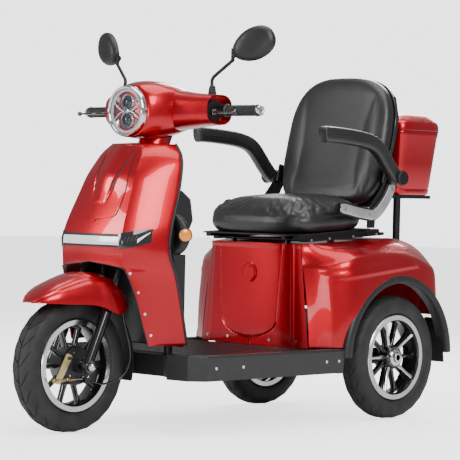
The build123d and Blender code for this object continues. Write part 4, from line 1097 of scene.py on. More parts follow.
# ---- front end -----------------------------------------------------------------------------------
@dataclass
class FrontFender(SubAssembly):
    """The mudguard with its beak, its ears over the fork legs, and the black flap behind the tyre.

    Rows hold the distance behind the front axle, half width, foot and crown heights.
    """

    home: Body = Body.FORK
    rows: Rows = ((-172, 22, 397, 401), (-150, 46, 397, 420), (-110, 68, 396, 446), (-60, 82, 394, 467),
                  (0, 96, 392, 485), (45, 106, 384, 488), (85, 115, 366, 484), (120, 114, 366, 470),
                  (150, 98, 376, 440))
    wall: float = 3.0
    flap_radius: float = 224.5
    flap_half: float = 52.0
    flap_from: float = -14.0
    flap_sweep: float = 64.0

    def at(self, u: float, v: float) -> Vector:
        """The skin: u is -1 to 1 across, v the distance behind the axle."""
        half, foot, crown = blend_rows(self.rows, v)
        turn = u * pi / 2
        x = half * signed_power(sin(turn), 0.84)
        return Vector((x, self.kit.layout.front(v), foot + (crown - foot) * max(cos(turn), 0.0) ** 0.72))

    def relief(self, u: float, v: float) -> float:
        """The raised spine and the ear's edge."""
        spine = 0.34 + 0.22 * (150 - v) / 320
        return ridge(abs(u), spine, 0.1, 2.6) + (ridge(v, 62, 34, 3.0) if abs(u) > 0.5 else 0.0)

    def build(self) -> None:
        """Builds the mudguard."""
        skin = Skin(self.at, (0, self.kit.layout.front(0), 300))
        rows = [(v, spread(-1, 1, 61)) for v in spread(-172, 150, 46)]
        guard = skin.patch("front_fender_skin", rows, 0.0, self.wall, self.relief)
        self.wear(round_edges(guard, 0.9), Finish.RED, "front_fender")
        self.flap()
        boot = [(-9, 18), (-9, 22.5), (-4, 24), (3, 22), (9, 19.5), (9, 18)]
        for side in (1, -1):
            place_at = (side * 80, self.kit.layout.front(0) + 62, 410)
            self.wear(lathe(f"leg_boot_{side}", boot, place_at, STEER_AXIS, 40), Finish.TRIM)

    def flap(self) -> None:
        """The black flap behind the tyre, an arc that falls off to its sides."""
        y = self.kit.layout.front(0)
        steps, half = 24, 1.6
        face, back = [], []
        for i in range(steps):
            turn = radians(self.flap_from + self.flap_sweep * i / (steps - 1))
            out = Vector((0, cos(turn), sin(turn)))
            middle = Vector((0, y + self.flap_radius * cos(turn), AXLE_HEIGHT + self.flap_radius * sin(turn)))
            for x in spread(-self.flap_half, self.flap_half, 9):
                base = middle + Vector((x, 0, 0)) - out * 0.0006 * x * x
                face.append(base + out * half)
                back.append(base - out * half)
        self.wear(round_edges(double_sheet("front_flap", face, back, steps, 9), 0.8), Finish.TRIM)


@dataclass
class ForkDetails(SubAssembly):
    """Brake spring, rod and adjuster, axle domes and drum bolts on the leading-axle fork."""

    home: Body = Body.FORK
    rod_x: float = 50.5
    rod_z: float = 166.0

    def build(self) -> None:
        """Builds the small parts; the legs keep their CAD form."""
        f, x, z = self.kit.layout.front, self.rod_x, self.rod_z
        wire = [(x + 4.6 * cos(k * 0.8), f(-88) + k * 0.62, z + 0.5 + 4.6 * sin(k * 0.8)) for k in range(110)]
        self.wear(tube("brake_spring", wire, 0.9, 1, 8), Finish.BRASS)
        self.wear(tube("brake_rod", [(x, f(y), z) for y in (-104, -60, 10)], 1.9, 6, 12), Finish.STEEL)
        nut = lathe("brake_adjuster", [(-5, 2), (-5, 6.5), (-3.6, 7.6), (4, 7.6), (6.5, 5.4), (6.5, 2)],
                    (x, f(-103), z), (0, 1, 0), 6, sharp_angle=20)
        self.wear(nut, Finish.BRASS)
        for side in (1, -1):
            dome = lathe(f"axle_dome_{side}", [(0, 0), (0, 12.5), (4, 12.5), (9, 10), (12.5, 5), (13.5, 0)],
                         (side * 101, f(0), AXLE_HEIGHT), (side, 0, 0), 32)
            self.wear(dome, Finish.CHROME)
        bolts = [((38.6, f(42 * cos(a)), AXLE_HEIGHT + 42 * sin(a)), ACROSS) for a in (0.6, 1.9, 3.9, 5.3)]
        self.studs("brake_plate_bolts", bolts, 3.2, 3.6, Finish.STEEL)


@dataclass
class LegShield(SubAssembly):
    """The red front shield with its hatch, light bar, corner lamps, trims and screws.

    Rows hold height, the middle's y, the flat front's half width and y, and the side edge's half
    width and y, all y behind the front axle.
    """

    rows: Rows = (
        (268, 62, 130, 74, 206, 298), (465, 76, 132, 87, 207, 248), (541, 74, 134, 86, 207, 216),
        (587, 72, 133, 82, 206, 212), (640, 84, 128, 96, 204, 224), (732, 122, 116, 136, 191, 262),
        (785, 141, 106, 158, 182, 280), (827, 170, 98, 186, 173, 292), (860, 194, 86, 208, 156, 300),
        (885, 216, 66, 228, 128, 308))
    arch: Rows = ((260, 168), (330, 146), (400, 127), (470, 104), (500, 90), (522, 71))
    hatch: Rows = ((650, 14), (658, 76), (668, 88), (732, 92), (785, 84), (827, 74), (856, 60), (870, 40))
    wall: float = 3.0
    arch_top: float = 522.0
    cell_count: int = 5
    cell_pitch: float = 0.085
    cell_width: float = 0.032

    def at(self, u: float, z: float) -> Vector:
        """The skin: u is 0 in the middle, 1 at the flat front's corner and 2 at the side edge."""
        mid, c, corner, s, side = blend_rows(self.rows, z)
        a = abs(u)
        if a <= 1:
            x, y = c * a, mid + (corner - mid) * a ** 1.7
        else:
            t = a - 1
            bend_x = 2 * (c + 0.55 * (s - c)) - (c + s) / 2
            bend_y = 2 * (corner + 0.42 * (side - corner)) - (corner + side) / 2
            x = (1 - t) ** 2 * c + 2 * t * (1 - t) * bend_x + t * t * s
            y = (1 - t) ** 2 * corner + 2 * t * (1 - t) * bend_y + t * t * side
        return Vector((x if u >= 0 else -x, self.kit.layout.front(y), z))

    def start(self, z: float) -> float:
        """Where the wheel arch cuts a row, as u."""
        if z >= self.arch_top:
            return 0.0
        edge = self.kit.layout.front(blend_rows(self.arch, z)[0])
        low, high = 0.0, 2.0
        for _ in range(24):
            mid = (low + high) / 2
            low, high = (mid, high) if self.at(mid, z).y < edge else (low, mid)
        return low

    @property
    def behind(self) -> Point:
        """A place behind the shield, in millimetres."""
        return (0, self.kit.layout.front(330), 600)

    @property
    def skin(self) -> Skin:
        """The shield's surface."""
        return Skin(self.at, self.behind)

    def build(self) -> None:
        """Builds the shield and all it carries."""
        self.shell()
        self.lights()
        self.hatch_panel()
        self.trims()

    def shell(self) -> None:
        """The red skin in two mirrored halves that meet in the middle above the arch."""
        right, left = [], []
        for z in [*spread(268, self.arch_top - 1, 34), self.arch_top + 0.5, *spread(530, 885, 44)]:
            begin = self.start(z)
            us = [*spread(begin, 1.0, 14)[:-1], *spread(1.0, 2.0, 15)] if begin < 1 else spread(begin, 2.0, 28)
            right.append([self.at(u, z) for u in us])
            left.append([self.at(-u, z) for u in us])
        wide = len(right[0])
        points, faces = [], []
        for rows in (right, left):
            base = len(points)
            points += [p for row in rows for p in row]
            for r in range(len(rows) - 1):
                for c in range(wide - 1):
                    a = base + r * wide + c
                    quad = (a, a + 1, a + wide + 1, a + wide)
                    faces.append(quad if rows is right else quad[::-1])
        shell = build_mesh("leg_shield_skin", points, faces, 24, recalculate=False)
        face_away(shell, self.behind)
        self.wear(add_wall(shell, self.wall, 0.9), Finish.RED, "leg_shield")
        top, middle = 884.5, self.kit.layout.front(312)
        rim = [self.at(u, top) for u in spread(-2, 2, 41)]
        face = [Vector((p.x * k, middle + (p.y - middle) * k, top + 7 * (1 - k))) for k in (1.0, 0.72, 0.4)
                for p in rim]
        back = [p - Vector((0, 0, 4)) for p in face]
        self.wear(double_sheet("leg_shield_top", face, back, 3, 41), Finish.RED)

    def hatch_panel(self) -> None:
        """The service hatch over a black sheet that paints the shade in the gap round it, with two recessed channels
        and a finger tab.
        """

        def rows(grow: float, count: int) -> PatchRows:
            """Rows of the hatch's outline, widened."""
            out = []
            for z in spread(650 - grow, 870 + grow, count):
                half = blend_rows(self.hatch, z)[0] + grow
                c = blend_rows(self.rows, z)[1]
                out.append((z, spread(-half / c, half / c, 41)))
            return out

        def relief(u: float, z: float) -> float:
            """The channels that run down beside the middle panel."""
            x = abs(u) * blend_rows(self.rows, z)[1]
            edge = 22 + (z - 650) * 0.16
            fade = clamp((z - 690) / 60) * clamp((868 - z) / 30)
            return -ridge(x, edge, 7, 2.6) * fade + (ridge(x, 0, 34, 1.6) if z > 700 else 0.0)

        # painted shade: a black sheet a little wider than the hatch stands in for the shade in the gap round it
        self.wear(self.skin.patch("hatch_gap_painted_shade", rows(2.6, 40), 0.3, 2.0), Finish.TRIM)
        panel = self.skin.patch("front_hatch_skin", rows(0, 64), 1.9, 3.4, relief)
        self.wear(round_edges(panel, 1.0), Finish.RED, "front_hatch")
        tab = self.skin.patch("hatch_tab", [(z, spread(-0.1, 0.1, 9)) for z in spread(641, 651, 4)], 3.2, 3.6)
        self.wear(round_edges(tab, 1.0), Finish.RED)

    def lights(self) -> None:
        """The white bar between dark borders, and the corner lamps."""

        def rows(low: float, high: float, reach: float) -> PatchRows:
            """Rows across the front between two heights."""
            return [(z, spread(-reach, reach, 61)) for z in spread(low, high, 5)]

        border = self.skin.patch("light_border", rows(566, 606, 0.99), 0.9, 3)
        self.wear(round_edges(border, 0.6), Finish.TRIM)
        lens = self.skin.patch("light_bar_lens", rows(572.5, 598.5, 0.93), 2.3, 4.5)
        self.wear(round_edges(lens, 1.6), Finish.WHITE, "light_bar")
        self.corner_lamp(1, "left", "signal_lamps")
        self.corner_lamp(-1, "right")

    def corner_lamp(self, side: int, name: str, *nodes: str) -> None:
        """One smoked lamp that narrows and rises outward, with its cells and bright tip.

        Args:
            side: 1 for the left, -1 for the right.
            name: the side's name.
            nodes: CAD nodes that the lamp stands for.
        """

        def lamp(u: float, t: float) -> Vector:
            """A place on the lamp: t from its lower edge to its upper edge."""
            k = (u - 0.86) / 0.86
            low = 560 + 24 * max(k, 0.0) ** 1.5
            high = 609 + 16 * k
            return self.at(side * u, low + (high - low) * t)

        def swoosh(u: float, t: float) -> Vector:
            """A place on the bright tip inside the lamp's outer end."""
            k = (u - 1.36) / 0.3
            return lamp(u, 0.32 + 0.5 * k + (t - 0.5) * 0.22 * (1.15 - k))

        def cell(u: float, t: float) -> Vector:
            """A place on one of the slanted cells."""
            return lamp(u + (t - 0.5) * 0.05, 0.38 + 0.3 * t)

        def form(rule: Callable[[float, float], Vector], label: str, low: float, high: float, tall: int, wide: int,
                 out: float, thick: float) -> Object:
            """A panel by a rule, between two values of u."""
            rows = [(t, spread(low, high, wide)) for t in spread(0, 1, tall)]
            return Skin(rule, self.behind, 0.004, 0.02).patch(label, rows, out, thick)

        body = form(lamp, f"corner_lamp_{name}", 0.9, 1.66, 7, 33, 1.6, 5)
        self.wear(round_edges(body, 1.4), Finish.SMOKE, *nodes)
        self.wear(form(swoosh, f"corner_tip_{name}", 1.36, 1.62, 3, 15, 2.4, 1.6), Finish.WHITE)
        for i in range(self.cell_count):
            low = 0.97 + i * self.cell_pitch
            chip = form(cell, f"lamp_cell_{name}_{i}", low, low + self.cell_width, 3, 4, 2.2, 1.4)
            self.wear(chip, Finish.GREY)

    def trims(self) -> None:
        """Dark strips down the side edges, round knee reflectors with a painted glow and the arch screws."""
        f = self.kit.layout.front
        edge = [tuple(self.at(2.0, z) + Vector((0.5, 2.5, 0))) for z in spread(268, 885, 24)]
        self.both(tube("shield_edge", edge, 4.2, 3, 12), "shield_edge", Finish.GREY)
        arch = [tuple(self.at(self.start(z), z) + Vector((0, 1.5, 0))) for z in spread(270, 520, 18)]
        self.both(tube("arch_edge", arch, 2.2, 3, 10), "arch_edge", Finish.TRIM)
        spots = []
        for z in (300, 365, 430, 488):
            for sign in (1, -1):
                here, normal = self.skin.frame(sign * (self.start(z) + 0.09), z)
                spots.append((tuple(here), tuple(normal)))
        self.studs("arch_screws", spots, 4.2, 3.4, Finish.CHROME, "panel_screws")
        path = [(170, f(266), 668), (182, f(284), 640), (187, f(292), 606), (182, f(286), 570), (170, f(262), 544)]
        housing = tube("knee_housing", path, lambda t: 10 + 15 * sin(pi * t), 8, 28, 0.8, (0, 1, 0))
        self.both(housing, "knee_housing", Finish.TRIM)
        spot, facing = (207, f(280), 606), Vector((0.86, -0.5, 0)).normalized()
        rim = [(-12, 0), (-12, 20), (0, 23.5), (3, 23), (5, 20.6), (3, 19.6), (2, 0)]
        self.both(lathe("reflector_rim", rim, spot, facing, 48), "reflector_rim", Finish.TRIM)
        disc = [(1, 0), (1, 19.4), (5, 19), (7.5, 15), (8.5, 0)]
        # the amber reflector's glow is painted light, as a reflector is no lamp
        self.both(lathe("reflector", disc, spot, facing, 48), "reflector", Finish.AMBER)


def face_away(piece: Object, behind: Point) -> None:
    """Turns an open sheet's faces away from a place, in millimetres."""
    centre = Vector([c * MM for c in behind])
    score = sum(p.normal.dot(p.center - centre) * p.area for p in piece.data.polygons)
    if score < 0:
        piece.data.flip_normals()


# ---- head ----------------------------------------------------------------------------------------
@dataclass
class Head(SubAssembly):
    """The pod over the handlebar with its wings and headlight.

    Pod rows hold the distance behind the front axle, half width, foot and crown heights; wing rows
    hold the distance from the middle, front and rear y, foot and crown heights.
    """

    pod: Rows = ((228, 60, 925, 1045), (233, 78, 908, 1061), (262, 95, 903, 1076), (304, 107, 901, 1083),
                 (380, 113, 911, 1077), (430, 108, 928, 1062), (446, 98, 940, 1050))
    wing: Rows = ((30, 296, 438, 922, 1066), (120, 314, 440, 934, 1050), (190, 330, 443, 942, 1042),
                  (236, 342, 446, 945, 1039))
    home: Body = Body.STEERING
    lamp_y: float = 214.0
    lamp_z: float = 985.0
    lamp_radius: float = 79.0

    def build(self) -> None:
        """Builds pod, wings and headlight."""
        f = self.kit.layout.front
        rows = []
        for y in spread(228, 446, 34):
            half, low, high = blend_rows(self.pod, y)
            mid = (low + high) / 2
            rows.append([Vector((x, f(y), mid + z)) for x, z in superellipse(half, (high - low) / 2, 2.5, 72)])
        self.wear(grid("nacelle_pod", rows, True, True, 45), Finish.RED, "nacelle")
        self.wings()
        self.headlight()

    def wings(self) -> None:
        """Cowls over the bar whose outer ends open round the grips."""
        f = self.kit.layout.front
        rows = []
        for x in [*spread(30, 236, 26), 236.5, 234.5, 222, 205]:
            y0, y1, z0, z1 = blend_rows(self.wing, min(x, 236))
            inset = 0.0 if len(rows) < 26 else 2.2 if len(rows) == 26 else 4.2
            sweep = 10 * (x / 236) ** 2
            mid_y, mid_z = (y0 + y1) / 2, (z0 + z1) / 2 + sweep * 0.2
            half_y, half_z = (y1 - y0) / 2 - inset, (z1 - z0) / 2 - inset
            rows.append([Vector((x - 9 * abs(a) / half_y * (1 if a < 0 else 0), f(mid_y + a), mid_z + b))
                         for a, b in superellipse(half_y, half_z, 2.7, 56)])
        self.both(grid("wing", rows, True, True, 50), "nacelle_wing", Finish.RED)
        lining = lathe("wing_throat", [(0, 0), (0, 34), (5, 34), (6, 0)], (207, f(394), 992), (1, 0, 0), 32)
        self.both(lining, "wing_throat", Finish.TRIM)

    def headlight(self) -> None:
        """Chrome bezel, day light ring, two projector lenses and their divider, under a clear lens."""
        f, z, r = self.kit.layout.front, self.lamp_z, self.lamp_radius
        y, facing = f(self.lamp_y), (0, -1, 0)
        bezel = [(-15, r - 8), (-15, r + 1), (-6, r + 1.5), (2, r - 0.5), (4.5, r - 4), (3, r - 7.5), (-3, r - 9.5)]
        self.wear(lathe("bezel", bezel, (0, y, z), facing, 96, 50), Finish.CHROME, "headlight_bezel")
        bowl = [(-22, 0), (-22, 60), (-16, 66), (-6, 70.4), (-5, 68.5), (-14, 63), (-18, 57), (-18, 0)]
        self.wear(lathe("lamp_bowl", bowl, (0, y, z), facing, 72), Finish.GLOSS, "headlight_reflector")
        ring = [(-9, 61), (-9, 67.5), (-5, 68), (-3.2, 64.5), (-5, 61.5)]
        self.wear(lathe("day_light", ring, (0, y, z), facing, 96), Finish.WHITE)
        ball = [(-16, 0), (-16, 21), (-9, 20), (-5, 16.5), (-2.5, 11), (-1.2, 5), (-1, 0)]
        cup = [(-18, 21), (-18, 27), (-12, 27.5), (-7, 24.5), (-8, 22.5), (-13, 21)]
        for dz, name in ((27, "upper"), (-27, "lower")):
            self.wear(lathe(f"projector_{name}", ball, (0, y, z + dz), facing, 48), Finish.SCREEN)
            self.wear(lathe(f"projector_ring_{name}", cup, (0, y, z + dz), facing, 48), Finish.MACHINED)
        for sx in (1, -1):
            for sz in (1, -1):
                path = [(sx * 9, f(221.5), z), (sx * 26, f(221), z + sz * 4), (sx * 43, f(221), z + sz * 15),
                        (sx * 54, f(222), z + sz * 27)]
                bar = tube(f"divider_{sx}_{sz}", path, lambda t: 3.4 - 1.2 * t, 6, 10, 0.7, (0, 1, 0))
                self.wear(bar, Finish.MACHINED)
                face, back = ([Vector((sx * x, f(at + deep), z + sz * high)) for x, at, high in
                               ((36, 224, 26), (50, 222, 33), (32, 224, 42), (38, 221, 47))] for deep in (0, 6))
                self.wear(double_sheet(f"facet_{sx}_{sz}", face, back, 2, 2), Finish.MACHINED)
        boss = lathe("divider_boss", [(-12, 0), (-12, 9), (-7, 8), (-6, 0)], (0, y, z), facing, 6)
        self.wear(boss, Finish.MACHINED)


@dataclass
class Controls(SubAssembly):
    """Grips with end caps, levers, and mirrors on their stems."""

    home: Body = Body.STEERING
    bar_z: float = 992.0
    bar_back: float = 395.0
    slope: float = 0.08148
    grip_start: float = 252.0
    mirror_yaw: float = 20.0
    mirror_lean: float = 24.0

    def bar(self, x: float) -> Vector:
        """A place on the handlebar's centre line, left side."""
        return Vector((x, self.kit.layout.front(self.bar_back) + max(x - 110, 0) * self.slope, self.bar_z))

    def build(self) -> None:
        """Builds both sides."""
        axis = (self.bar(300) - self.bar(200)).normalized()
        rings = [(-1, 11.2), (-1, 19.5), (1.6, 21), (4, 19), (5.4, 16.7)]
        for a in spread(8, 112, 27):
            rings += [(a - 1.9, 16.7), (a, 15.7), (a + 1.9, 16.7)]
        rings += [(117, 17), (119, 18.6), (122, 18.6), (123, 16.6), (123, 11.2)]
        grip = lathe("grip", rings, tuple(self.bar(self.grip_start)), axis, 40, sharp_angle=45)
        self.both(grip, "grip_skin", Finish.GRIP, "grip_left", other_body=Body.THROTTLE, other_node="throttle_grip")
        self.ribs(axis)
        cap = lathe("bar_end", [(0, 0), (0, 13), (2, 16.2), (9, 16.2), (12, 14.5), (13, 9), (11, 7), (11, 0)],
                    tuple(self.bar(375.5)), axis, 40)
        self.both(cap, "bar_end", Finish.MACHINED)
        f = self.kit.layout.front
        path = [(240, f(368), 986), (256, f(352), 985), (284, f(344), 984), (318, f(343), 984), (344, f(341), 984)]
        ball = [(-7.6, 0), (-7, 3.5), (-4.5, 6.4), (0, 7.7), (4.5, 6.4), (7, 3.5), (7.6, 0)]
        eye = [(-8, 0), (-8, 12), (8, 12), (8, 0)]
        lever = join("lever_form", [
            tube("lever_blade", path, lambda t: 8.5 - 3.6 * t ** 0.8, 8, 16, 0.6),
            lathe("lever_ball", ball, (346, f(341), 984), ACROSS, 24),
            lathe("lever_eye", eye, path[0], (0, 0, 1), 24)])
        self.both(lever, "lever_skin", Finish.GLOSS, "brake_lever_left", body=Body.LEVER_LEFT,
                  other_body=Body.LEVER_RIGHT, other_node="brake_lever_right")
        self.mirrors()

    def ribs(self, axis: Vector) -> None:
        """Slanted ribs that cross the grips' rings, repeated round by the ring tree."""
        for lean, label in ((1.1, "a"), (-1.1, "b")):
            path = [(a, 16.55 * sin(lean * (a / 112)), 16.55 * cos(lean * (a / 112))) for a in spread(6, 112, 12)]
            rib = tube(f"rib_{label}", path, 0.75, 1, 6)
            ring = self.kit.repeaters.round(rib, 14, (0, 0, 0), self.material(Finish.GRIP))
            turn = Vector(ACROSS).rotation_difference(axis).to_matrix().to_4x4()
            ring.data.transform(Matrix.Translation(self.bar(self.grip_start) * MM) @ turn)
            self.both(ring, f"grip_ribs_{label}", Finish.GRIP, other_body=Body.THROTTLE)

    def mirrors(self) -> None:
        """Drop-shaped heads with glass, and ribbed boots at the foot of the stems."""
        f = self.kit.layout.front
        yaw, lean = radians(self.mirror_yaw), radians(self.mirror_lean)
        right = Vector((cos(yaw), sin(yaw), 0))
        back = Vector((-sin(yaw), cos(yaw), 0))
        up = Vector((0, 0, 1))
        along = right * cos(lean) + up * sin(lean)
        rise = -right * sin(lean) + up * cos(lean)
        centre = Vector((325, f(440), 1198))
        rings = [[centre + back * depth + p for p in self.drop(size, along, rise)] for depth, size in (
            (-17, 0.3), (-16, 0.5), (-13, 0.74), (-8, 0.9), (0, 0.985), (7, 1.0), (11, 0.985), (12, 0.94),
            (10.5, 0.9), (10.5, 0.5))]
        head = grid("mirror", rings, True, True, 50)
        neck = tube("mirror_neck", [(258, f(421), 1166), (268, f(425), 1170), (284, f(430), 1178)],
                    lambda t: 13 - 4 * t, 6, 20)
        sides = {"body": Body.MIRROR_LEFT, "other_body": Body.MIRROR_RIGHT}
        self.both(join("mirror_form", [head, neck]), "mirror_skin", Finish.TRIM, "mirror_head_left",
                  other_node="mirror_head_right", **sides)
        glass = double_sheet_disc("mirror_pane", [centre + back * 10.8 + p for p in self.drop(0.9, along, rise)],
                                  back * 0.9)
        self.both(glass, "mirror_pane", Finish.MIRROR, **sides)
        boot = [(0, 0), (0, 13), (6, 14.5), (9, 12.5), (14, 13.5), (17, 11), (22, 12), (25, 9.5), (30, 10.5), (34, 7),
                (34, 0)]
        self.both(lathe("mirror_boot", boot, (201, f(392), 1036), (0, 0, 1), 32), "mirror_boot", Finish.GRIP)

    def drop(self, size: float, along: Vector, rise: Vector) -> list[Vector]:
        """A drop outline, full at the outer end and narrower towards the stem."""
        out = []
        for k in range(64):
            c, s = cos(tau * k / 64), sin(tau * k / 64)
            taper = 1 - 0.2 * max(-c, 0) ** 1.3 + 0.04 * c
            out.append(along * (74 * size * signed_power(c, 0.92)) + rise * (51 * size * taper * signed_power(s, 0.88)))
        return out


def double_sheet_disc(name: str, edge: Sequence[Vector], deep: Vector) -> Object:
    """A flat closed plate of any outline."""
    count = len(edge)
    points = [*edge, *[p + deep for p in edge]]
    faces = [tuple(range(count)), tuple(range(2 * count - 1, count - 1, -1))]
    faces += [(i, (i + 1) % count, count + (i + 1) % count, count + i) for i in range(count)]
    return build_mesh(name, points, faces, 30)


# ---- body ----------------------------------------------------------------------------------------
@dataclass
class SeatBox(SubAssembly):
    """The red front of the seat box, with its raised panel, creases and screws."""

    foot: tuple[float, float, float, float] = (241, 239, -347, -374)
    top: tuple[float, float, float, float] = (576, 199, -347, -372)

    def at(self, u: float, z: float) -> Vector:
        """The skin: u is -1 to 1 across."""
        t = (z - self.foot[0]) / (self.top[0] - self.foot[0])
        half, corner, mid = (a + (b - a) * t for a, b in zip(self.foot[1:], self.top[1:]))
        back = mid + (corner - mid) * (0.25 * abs(u) ** 1.5 + 0.75 * abs(u) ** 5)
        return Vector((half * u, self.kit.layout.rear(back), z))

    def relief(self, u: float, z: float) -> float:
        """A U-shaped panel in the middle with a shoulder crease each side of it."""
        x = abs(u) * (239 - 40 * (z - 241) / 335)
        edge = 0.0
        if z > 330:
            edge = 116 + 20 * (z - 300) / 276
        elif z > 268:
            edge = 118 * sqrt(max(1 - ((330 - z) / 62) ** 2, 0.0))
        side = clamp((x - edge) / 5)
        groove = ridge(x, edge + 4.5, 4.5, 2.4) if z > 272 else 0.0
        crease = ridge(x, 172 + 14 * (576 - z) / 335, 10, 1.6)
        lip = 2.2 * clamp((z - 562) / 8)
        return -2.0 * side * side * (3 - 2 * side) - groove + crease + lip

    def build(self) -> None:
        """Builds the panel and its fittings."""
        skin = Skin(self.at, (0, self.kit.layout.rear(0), 400))
        rows = [(z, spread(-1, 1, 151)) for z in spread(241, 576, 84)]
        panel = skin.patch("seat_box_skin", rows, 0.6, 3.4, self.relief)
        self.wear(round_edges(panel, 1.2), Finish.RED, "seat_box_front")
        rim = [(-4, 27.2), (-4, 31.5), (1.2, 31.5), (2.6, 30), (2.6, 28), (1.4, 27.2)]
        self.wear(lathe("flap_rim", rim, (0, self.kit.layout.rear(-375.5), 479), (0, -1, 0)), Finish.RED)
        spots = []
        for x in (196, 92):
            for sign in (1, -1):
                here, normal = skin.frame(sign * x / 236, 262)
                spots.append((tuple(here + normal * 0.6), tuple(normal)))
        self.studs("box_screws", spots, 5.6, 4.0, Finish.CHROME)


@dataclass
class RearBody(SubAssembly):
    """Both rear wings, their arch trims, the rear panel and lamps.

    Rows hold the distance behind the rear axle, foot and shoulder half widths, shoulder height,
    rounding and the deck's half width.
    """

    rows: Rows = (
        (-343.4, 240, 208, 500, 6, 199.4), (-318, 276, 262, 503, 18, 207), (-296, 308, 292, 505, 22, 214),
        (-258, 329, 325, 518, 26, 225), (-220, 338, 338, 529, 28, 232), (-128, 339, 341, 541, 28, 240),
        (-35, 338, 339, 543, 28, 246), (60, 338, 338, 535, 28, 246), (178, 334, 333, 500, 28, 236),
        (212, 318, 316, 480, 28, 220), (232, 296, 296, 466, 26, 206))
    drops: Rows = ((-343.4, 0), (-35, 0), (60, -4), (178, -34), (232, -62))
    arch_radius: float = 268.4
    skirt: float = 246.0
    tail_y: float = 232.4
    lamp_x: float = 150.0
    lamp_z: float = 420.0

    def deck(self, y: float) -> float:
        """Height of the deck."""
        return 577 + (y + 338) * 27 / 435 + blend_rows(self.drops, y)[0]

    def foot(self, y: float) -> float:
        """Height of the lower edge, which follows the wheel arch."""
        inside = self.arch_radius ** 2 - y * y
        return max(self.skirt, AXLE_HEIGHT + sqrt(inside)) if inside > 0 else self.skirt

    def at(self, u: float, y: float) -> Vector:
        """The left skin: u is 0 at the foot, 1 at the shoulder and 2 at the deck's edge."""
        foot, shoulder, top, rounding, deck = blend_rows(self.rows, y)
        low = self.foot(y)
        knee = top - rounding
        brow = Vector((shoulder - rounding * 0.55, 0, top + rounding * 0.42))
        if u <= 1:
            z = low + (knee - low) * u
            swell = 5 * sin(pi * clamp((z - self.skirt) / (knee - self.skirt)))
            x = foot + (shoulder - foot) * (z - self.skirt) / (top - self.skirt) + swell
            return Vector((x, self.kit.layout.rear(y), z))
        edge = Vector((deck, 0, self.deck(y)))
        if u <= 1.4:
            t = (u - 1) / 0.4
            start, bend = Vector((shoulder, 0, knee)), Vector((shoulder, 0, top + rounding * 0.1))
            p = start * (1 - t) ** 2 + bend * 2 * t * (1 - t) + brow * t * t
        else:
            t = (u - 1.4) / 0.6
            p = brow + (edge - brow) * t
            p.z += 6 * sin(pi * t) * min((y + 343.4) / 60, 1)
        return Vector((p.x, self.kit.layout.rear(y), p.z))

    def relief(self, u: float, y: float) -> float:
        """The character line that rises along the wing."""
        z = self.at(u, y).z
        line = 470 + 0.10 * (y + 343)
        return ridge(z, line, 16, 2.8) * clamp((y + 330) / 60) if u < 1.1 else 0.0

    def build(self) -> None:
        """Builds both sides."""
        rear = self.kit.layout.rear
        skin = Skin(self.at, (0, rear(0), 350))
        us = [*spread(0, 1, 26)[:-1], *spread(1, 1.4, 9)[:-1], *spread(1.4, 2, 9)]
        ys = [*spread(-343.4, -266, 14)[:-1], *spread(-266, 232, 84)]
        wing = skin.patch("wing", [(y, us) for y in ys], 0.4, 3.4, self.relief)
        self.both(round_edges(wing, 1.0), "rear_fender_skin", Finish.RED, "rear_fenders")
        outline = [(self.at(u, 232).x, self.at(u, 232).z) for u in us]
        full = outline + [(-x, z) for x, z in outline[::-1]]
        tail = double_sheet_disc("tail_panel", [Vector((x, rear(229.5), z)) for x, z in full], Vector((0, 3.2, 0)))
        self.wear(tail, Finish.RED)
        self.trim()
        self.lamps()

    def trim(self) -> None:
        """Broad dark trims round the arches, and flaps behind the wheels."""
        rear = self.kit.layout.rear
        near, far = 300.0, 346.0
        section = [(near, 268), (near, 249), (near + 26, 245.5), (far - 5, 246), (far - 0.5, 249), (far, 254),
                   (far - 0.6, 262), (far - 4, 271), (far - 10, 276), (far - 16, 276)]
        rows = []
        for a in spread(2, 178, 62):
            c, s = cos(radians(a)), sin(radians(a))
            rows.append([Vector((x, rear(-r * c), AXLE_HEIGHT + r * s)) for x, r in section])
        self.both(grid("arch_trim_skin", rows, True, True), "arch_trim_skin", Finish.GREY, "arch_trims")
        face = [Vector((x, rear(238 + 10 * t * t), 330 - 150 * t)) for t in spread(0, 1, 8)
                for x in spread(252, 330, 6)]
        back = [p + Vector((0, 2.6, 0)) for p in face]
        self.both(double_sheet("rear_flap", face, back, 8, 6), "rear_flap", Finish.TRIM)

    def plate(self, x: float, y: float, half_wide: float, half_high: float, power: float, count: int) -> list[Vector]:
        """A rounded rectangle on the rear panel, at lamp height."""
        return [Vector((x + a, y, self.lamp_z + b)) for a, b in superellipse(half_wide, half_high, power, count)]

    def lamps(self) -> None:
        """Tail lamps in black frames, and a reflector between them, whose tail lens glow is painted light."""
        rear, tail = self.kit.layout.rear, self.tail_y
        for side, name in ((1, "left"), (-1, "right")):
            x, rows = side * self.lamp_x, []
            for t in spread(0, 1, 6):
                k = 1 - 0.07 * t ** 2
                rows.append(self.plate(x, rear(tail) + 13 * t, 38 * k, 19 * k, 4, 40))
            self.wear(grid(f"tail_lamp_{name}", rows, True, True), Finish.TAIL,
                      *(("tail_lights",) if side > 0 else ()))
            frame = [self.plate(x, rear(y), a, b, 4, 40) for a, b, y in (
                (46, 27, tail), (46, 27, 238), (43, 24, 240), (38.6, 19.6, 240), (38.6, 19.6, tail))]
            self.wear(grid(f"tail_frame_{name}", frame, True), Finish.TRIM)
        rows = [self.plate(0, rear(tail) + d, w, h, 3, 36) for w, h, d in ((62, 17, 0), (62, 17, 4), (59, 15, 6))]
        # the reflector wears the tail lens, so its glow is painted light on a part that is no lamp
        self.wear(grid("rear_reflector_painted_glow", rows, True, True), Finish.TAIL)


